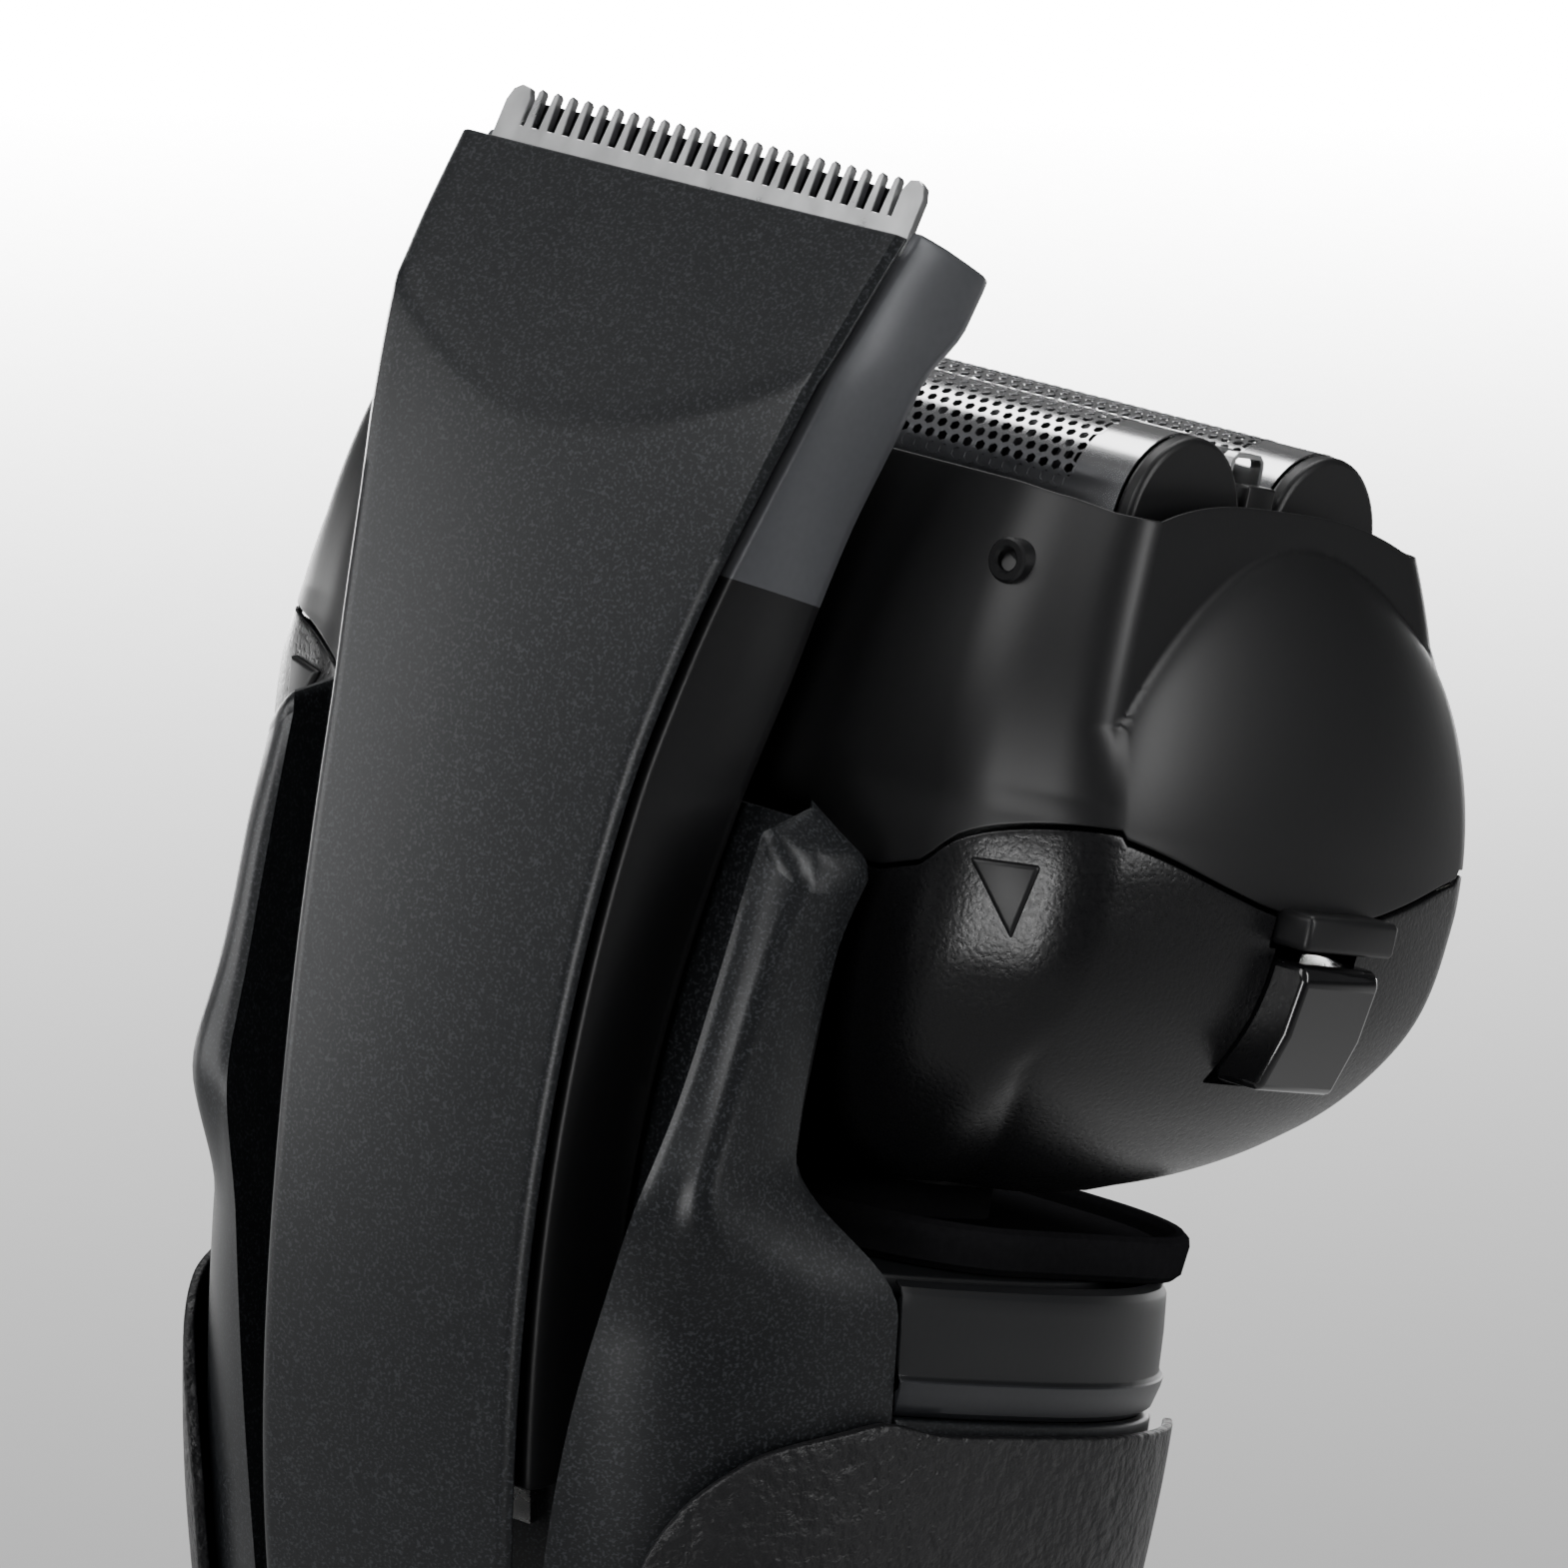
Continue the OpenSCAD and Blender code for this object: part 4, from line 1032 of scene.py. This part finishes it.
def head_scale(z):
    """How much of its width and depth the head has at a height, and its middle."""
    up = max(z, 0) / TOP_Z
    s = table(z, CHIN) if z < 0 else 1.0
    return s * (1 - CLOSE_W * up * up), s * (1 - CLOSE_D * up * up), HEAD_MID * (1 - up)


def end_face(t, z, domed=True):
    fx, fy, mid = head_scale(z)
    away2 = ((HEAD_MID + HEAD_D * t - DOME_Y) ** 2 + (z - DOME_Z) ** 2) / DOME_R**2
    rise = max(0.0, 1 - away2)
    bulge = DOME_OUT * rise * (rise + 0.05) ** (DOME_POWER - 1) if domed else 0.0
    return HEAD_W * fx + bulge, mid + HEAD_D * t * fy


def curve(a, c, b, q):
    return tuple(mix(mix(p0, p1, q), mix(p1, p2, q), q) for p0, p1, p2 in zip(a, c, b))


def head_quarter(kind, t, side, z, domed=True):
    """A point on the +x half; side is 1 at the back and -1 at the front."""
    if kind == "end":
        return end_face(t * side, z, domed)
    fx, fy, mid = head_scale(z)
    corner = end_face(side, z, domed)
    knee = (LONG_W * fx, mid + side * LONG_D * fy)
    after = along_path([corner, knee], CHAMFER_IN)
    before_knee = along_path([corner, knee], 1 - CHAMFER_IN)
    past_knee = (knee[0] - KNEE_IN, knee[1])
    if kind == "corner":
        return curve(end_face(CORNER_T * side, z, domed), corner, after, t)
    if kind == "chamfer":
        return along_path([after, before_knee], t)
    if kind == "knee":
        return curve(before_knee, knee, past_knee, t)
    return (past_knee[0] * (1 - t), past_knee[1])


# One quarter of the outline, from the middle of the end to the middle of the side
QUARTER = ([("end", CORNER_T * i / 46) for i in range(46)] + [("corner", i / 6) for i in range(6)]
           + [("chamfer", i / 4) for i in range(4)] + [("knee", i / 6) for i in range(6)]
           + [("long", i / 8) for i in range(9)])
HEAD_COLUMNS = ([(1, 1, c) for c in QUARTER] + [(-1, 1, c) for c in reversed(QUARTER[:-1])]
                + [(-1, -1, c) for c in QUARTER[1:]] + [(1, -1, c) for c in reversed(QUARTER[:-1])])
SPAN = len(HEAD_COLUMNS) - 1


def head_at(column, z, domed=True):
    flip, side, (kind, t) = HEAD_COLUMNS[column]
    x, y = head_quarter(kind, t, side, z, domed)
    return flip * x, y


def seam_height(column):
    """Height of the seam: lowest at the buttons and along the sides."""
    kind = HEAD_COLUMNS[column][2][0]
    x, y = head_at(column, 0, False)
    if kind == "end":
        reach = ENDS_AT if y > BUTTON_Y else FRONT_REACH
        return table(abs(y - BUTTON_Y) / reach * ENDS_AT, END_SEAM)
    return table(abs(x), SIDE_SEAM)


def head_skin(name, low, high, rows, wall, bevel):
    """A wall on the head's form, between two heights that change round the outline."""
    heights = [(low(c), high(c)) for c in range(len(HEAD_COLUMNS))]

    def point(u, v):
        column = round(u * SPAN)
        z = mix(*heights[column], v)
        return in_head(*head_at(column, z), z)

    return skin(name, point, SPAN, rows, wall, closed=True, bevel=bevel, sharp=55)


def head_box(name, x0, x1, y0, y1, z0, z1, bevel=0.3):
    """A box in the head's axes, rounded on every edge."""
    outline = [(x0, y0), (x1, y0), (x1, y1), (x0, y1)]
    return prism(name, outline, z0, z1, bevel=bevel)


print("head outline:", len(HEAD_COLUMNS), "columns")

# %% [markdown]
# The base has a pebbled finish. At each end a recess holds the release button, with
# a slot above it for the catch bar. Both are carved with rounded boxes.

# %% Head base
RECESS_X, PAST_HEAD, ABOVE_SEAM = 29.4, 40.0, 2
RECESSES = [("recess", 4.05, -13.9), ("slot", 4.75, -5.3)]
base = head_skin("head_bowl", lambda c: CHIN_LOW, lambda c: seam_height(c) - SEAM_GAP, 56, 1.6, 0.3)
for flip in (1, -1):
    ends = sorted((flip * RECESS_X, flip * PAST_HEAD))
    for name, half, low in RECESSES:
        carve(base, head_box(name, *ends, BUTTON_Y - half, BUTTON_Y + half, low, ABOVE_SEAM, 0.25))
soften(base, 0, smooth_to=34)
settle(base, ["head_base"], "head", "head_black", pebbled_black)

# %% [markdown]
# The foil frame is smooth matt black. It closes towards its rim, which is rounded
# over, and the crease of the end dome runs across it as an arch. A lip inside the
# bowl closes the seam against light, as the lip on a real lid does.

# %% Foil frame
RIM_DROP, NEAR_KNEE = 0.5, 0.2
LIP_X, LIP_Y, LIP_DOWN, LIP_UP = 0.925, 0.895, 1.2, 1.0


def rim_height(column):
    """The rim falls from the middle of each end to the corners."""
    kind, t = HEAD_COLUMNS[column][2]
    low = RIM_Z - RIM_DROP
    if kind == "end":
        return mix(TOP_Z, low, (t / CORNER_T) ** 3.2)
    if kind == "corner":
        return low
    if kind == "chamfer":
        return mix(low, RIM_Z - NEAR_KNEE, t)
    return RIM_Z if kind == "long" else mix(RIM_Z - NEAR_KNEE, RIM_Z, smooth(t))


def lip_point(u, v):
    column = round(u * SPAN)
    z = mix(seam_height(column) - LIP_DOWN, seam_height(column) + LIP_UP, v)
    x, y = head_at(column, z)
    return in_head(x * LIP_X, HEAD_MID + (y - HEAD_MID) * LIP_Y, z)


foil_frame = head_skin("foil_frame_skin", lambda c: seam_height(c) + SEAM_GAP,
                       rim_height, 96, 1.3, 0.45)
lip = skin("frame_lip", lip_point, SPAN, 4, 0.4, closed=True, bevel=0)
foil_frame = joined("foil_frame_skin", [foil_frame, lip])
settle(foil_frame, ["foil_frame"], "foil_head", "frame_black", frame_matte)

# %% [markdown]
# A glossy button sits in each recess. Its face slopes like the bowl's chin. The bar
# above it belongs to the foil frame: it is what the button's catch holds.

# %% Release buttons and catch bars
BUTTON_HALF, BAR_HALF, BAR_IN, BAR_OUT, BAR_LOW, BAR_TOP = 3.8, 4.5, 33.2, 36.0, -5.0, -2.9
FACE = [(31, -13.5), (34.3, -13.5), (35.5, -10), (36.0, -6.6), (35.6, -5.8), (31, -5.8)]
for flip, side_name in ((1, "right"), (-1, "left")):
    def standing(a, b, c, flip=flip):
        return in_head(flip * a, BUTTON_Y + c, b)

    release = outward(prism("release_" + side_name, FACE, -BUTTON_HALF, BUTTON_HALF, standing, 0.0))
    soften(release, 0.55, 4, sharp=25)
    settle(release, ["release_button_" + side_name], "release_" + side_name, "button_gloss",
           gloss_black)

bars = [head_box("bar", *sorted((flip * BAR_IN, flip * BAR_OUT)), BUTTON_Y - BAR_HALF,
                 BUTTON_Y + BAR_HALF, BAR_LOW, BAR_TOP, 0.4) for flip in (1, -1)]
settle(joined("catch_bar_pair", bars), ["catch_bars"], "foil_head", "frame_black", frame_matte)

# %% [markdown]
# A rubber skirt hangs from the bowl into the neck dish, so little light passes
# between them. It is fixed to the bowl and moves with it.

# %% Neck skirt
SKIRT = [(15.6, 11.1, -1.9, -23.7), (15.8, 11.3, -1.9, -23.5), (15.7, 11.2, -1.9, -23.15),
         (15.2, 10.6, -1.8, -22.7), (14.0, 9.6, -1.8, -22.2)]

skirt = ring_skin("neck_skirt", SKIRT, 0.7, 11, 20, 0.5)
settle(skirt, [], "head", "seal_rubber", seal_rubber)

# %% [markdown]
# A small triangle on each corner shows the way to unlock. It is inlaid almost flush
# with the bowl. Small round bosses with a dimple stand on the frame's long sides.

# %% Unlock marks
MARK, MARK_IN, MARK_OUT = [(27.1, -7.2), (24.3, -3.1), (28.0, -2.7)], -0.3, 0.35


def on_bowl(flip, side, x, z, out):
    """A point just outside the bowl's chamfer, from x across and z up."""
    fx, fy, mid = head_scale(z)
    corner, knee = end_face(side, z), (LONG_W * fx, mid + side * LONG_D * fy)
    t = (corner[0] - x) / (corner[0] - knee[0])
    y = mix(corner[1], knee[1], t)
    lean_out = Vector((corner[1] - knee[1], knee[0] - corner[0])).normalized()
    return in_head(flip * (x + abs(lean_out.x) * out), y + side * abs(lean_out.y) * out, z)


CORNERS = [(flip, side) for flip in (1, -1) for side in (1, -1)]
marks = []
for flip, side in CORNERS:
    rings = [[on_bowl(flip, side, x, z, out) for x, z in MARK] for out in (MARK_IN, MARK_OUT)]
    marks.append(soften(outward(loft("mark", rings)), 0.3, 3))
settle(joined("unlock_triangles", marks), ["unlock_marks"], "head", "grey_frame", frame_matte)

# %% Frame bosses
BOSS_X, BOSS_Z = 22.0, 13.6
BOSS = [(0, -1.0), (1.3, -1.0), (1.3, 0.35), (1.15, 0.5), (0.8, 0.5), (0.65, 0.35), (0.6, -0.2),
        (0, -0.2)]
bosses = []
for flip, side in CORNERS:
    face_y = head_scale(BOSS_Z)[2] + side * LONG_D * head_scale(BOSS_Z)[1]

    def out_of_side(x, y, z, flip=flip, side=side, face_y=face_y):
        return in_head(flip * BOSS_X + x, face_y + side * z, BOSS_Z + y)

    bosses.append(turned("boss", BOSS, out_of_side, 32))
settle(joined("frame_boss_set", bosses), ["frame_bosses"], "foil_head", "frame_black", frame_matte)

# %% [markdown]
# Each foil is a thin steel sheet bent into an arch and pierced with a honeycomb. The
# holes are real: every cell is a ring of six faces between its outline and its hole,
# and all cells share their outlines. A plain sheet with a window frames them.

# %% Perforated foils
FOIL_R, FOIL_Y, FOIL_Z, FOIL_HALF, FOIL_LOW = 5.5, 6.95, 16.9, 24.2, 10.4
PITCH, HOLE, WINDOW_X, WINDOW_S, OVERLAP, UNDER, SHEET = 0.92, 0.33, 21.0, 7.4, 0.5, 0.02, 0.08
ARC_HALF = FOIL_R * math.pi / 2


def on_foil(side, x, s, r=FOIL_R):
    """s is the distance along the arch from its crest."""
    if abs(s) <= ARC_HALF:
        a = s / FOIL_R
        return in_head(x, side * FOIL_Y + r * math.sin(a), FOIL_Z + r * math.cos(a))
    return in_head(x, side * FOIL_Y + math.copysign(r, s), FOIL_Z - (abs(s) - ARC_HALF))


def honeycomb(side):
    points, faces = [], []
    row_step = PITCH * math.sqrt(3) / 2
    rows = int(WINDOW_S / row_step)
    for row in range(-rows, rows + 1):
        shift = PITCH / 2 if row % 2 else 0.0
        columns = int((WINDOW_X - shift) / PITCH)
        for column in range(-columns, columns + 1):
            x, s = column * PITCH + shift, row * row_step
            start = len(points)
            for reach in (PITCH / math.sqrt(3), HOLE):
                for k in range(6):
                    a = math.radians(60 * k + 30)
                    points.append(on_foil(side, x + reach * math.cos(a), s + reach * math.sin(a)))
            faces += [(start + k, start + (k + 1) % 6, start + 6 + (k + 1) % 6, start + 6 + k)
                      for k in range(6)]
    return merged(shell("honeycomb", points, faces))


def pierced(name, rows, open_at):
    """A sheet through rows of points, without the faces (i, j) that are open."""
    n = len(rows[0])
    faces = [(j * n + i, j * n + i + 1, (j + 1) * n + i + 1, (j + 1) * n + i)
             for j in range(len(rows) - 1) for i in range(n - 1) if not open_at(i, j)]
    return shell(name, [p for row in rows for p in row], faces)


def plain_sheet(side):
    """The foil's rim: everything outside the window."""
    span_s, edge = ARC_HALF + FOIL_Z - FOIL_LOW, WINDOW_S - OVERLAP
    xs = [-FOIL_HALF, -WINDOW_X + OVERLAP, WINDOW_X - OVERLAP, FOIL_HALF]
    ss = [mix(-span_s, -edge, i / 8) for i in range(8)]
    ss += [mix(-edge, edge, i / 24) for i in range(24)]
    ss += [mix(edge, span_s, i / 8) for i in range(9)]
    rows = [[on_foil(side, x, s, FOIL_R - UNDER) for x in xs] for s in ss]
    return pierced("plain_sheet", rows, lambda i, j: i == 1 and 8 <= j < 32)


for side, node_name in ((-1, "foil_front"), (1, "foil_rear")):
    foil = joined(node_name + "_sheet", [honeycomb(side), plain_sheet(side)])
    add_modifier(foil, "SOLIDIFY", thickness=SHEET * MM, offset=-1)
    settle(soften(foil, smooth_to=40), [node_name], "cassette", "foil_steel", foil_steel)

# %% [markdown]
# Between the foils stands a slotted comb of bent steel, and black caps close the
# ends of both arches.

# %% Slotted comb and caps
SLIT_PATH = [(-1.35, 10.5), (-1.35, 20.9), (-1.3, 21.2), (-1.05, 21.4), (0, 21.42), (1.05, 21.4),
             (1.3, 21.2), (1.35, 20.9), (1.35, 10.5)]
SLITS, FIRST_SLIT, SLIT_PITCH, SLIT_HALF, SLIT_END, SLIT_WALL = 22, -22.6, 2.15, 0.6, 24.0, 0.3
slit_x = [-SLIT_END]
for i in range(SLITS):
    middle = FIRST_SLIT + i * SLIT_PITCH
    slit_x += [middle - SLIT_HALF, middle + SLIT_HALF]
slit_x.append(SLIT_END)
slotted = pierced("slotted_comb", [[in_head(x, y, z) for x in slit_x] for y, z in SLIT_PATH],
                  lambda i, j: i % 2 == 1 and 1 <= j <= 6)
add_modifier(slotted, "SOLIDIFY", thickness=SLIT_WALL * MM, offset=1)
soften(slotted, 0.04, 1)
settle(slotted, ["slit_comb"], "cassette", "blade_steel", blade_steel)

CAP_R, CAP_LOW, CAP_WALL, BRIDGE_HALF, BRIDGE_TOP = 5.4, 11.0, 1.2, 1.4, 20
caps = []
for flip in (1, -1):
    def endways(a, b, c, flip=flip):
        return in_head(flip * c, a, b)

    for side in (1, -1):
        middle = side * FOIL_Y
        arch = [math.radians(6 * k) for k in range(31)]
        outline = [(middle - CAP_R, CAP_LOW), (middle + CAP_R, CAP_LOW)]
        outline += [(middle + CAP_R * math.cos(a), FOIL_Z + CAP_R * math.sin(a)) for a in arch]
        caps.append(prism("cap", outline, FOIL_HALF, FOIL_HALF + CAP_WALL, endways, 0.0))
    caps.append(head_box("cap_bridge", *sorted((flip * FOIL_HALF, flip * (FOIL_HALF + CAP_WALL))),
                         -BRIDGE_HALF, BRIDGE_HALF, CAP_LOW, BRIDGE_TOP, 0.2))
for cap_part in caps:
    soften(outward(cap_part), 0.35, 3, sharp=50)
settle(joined("foil_end_caps", caps), ["foil_caps"], "cassette", "frame_black", frame_matte)
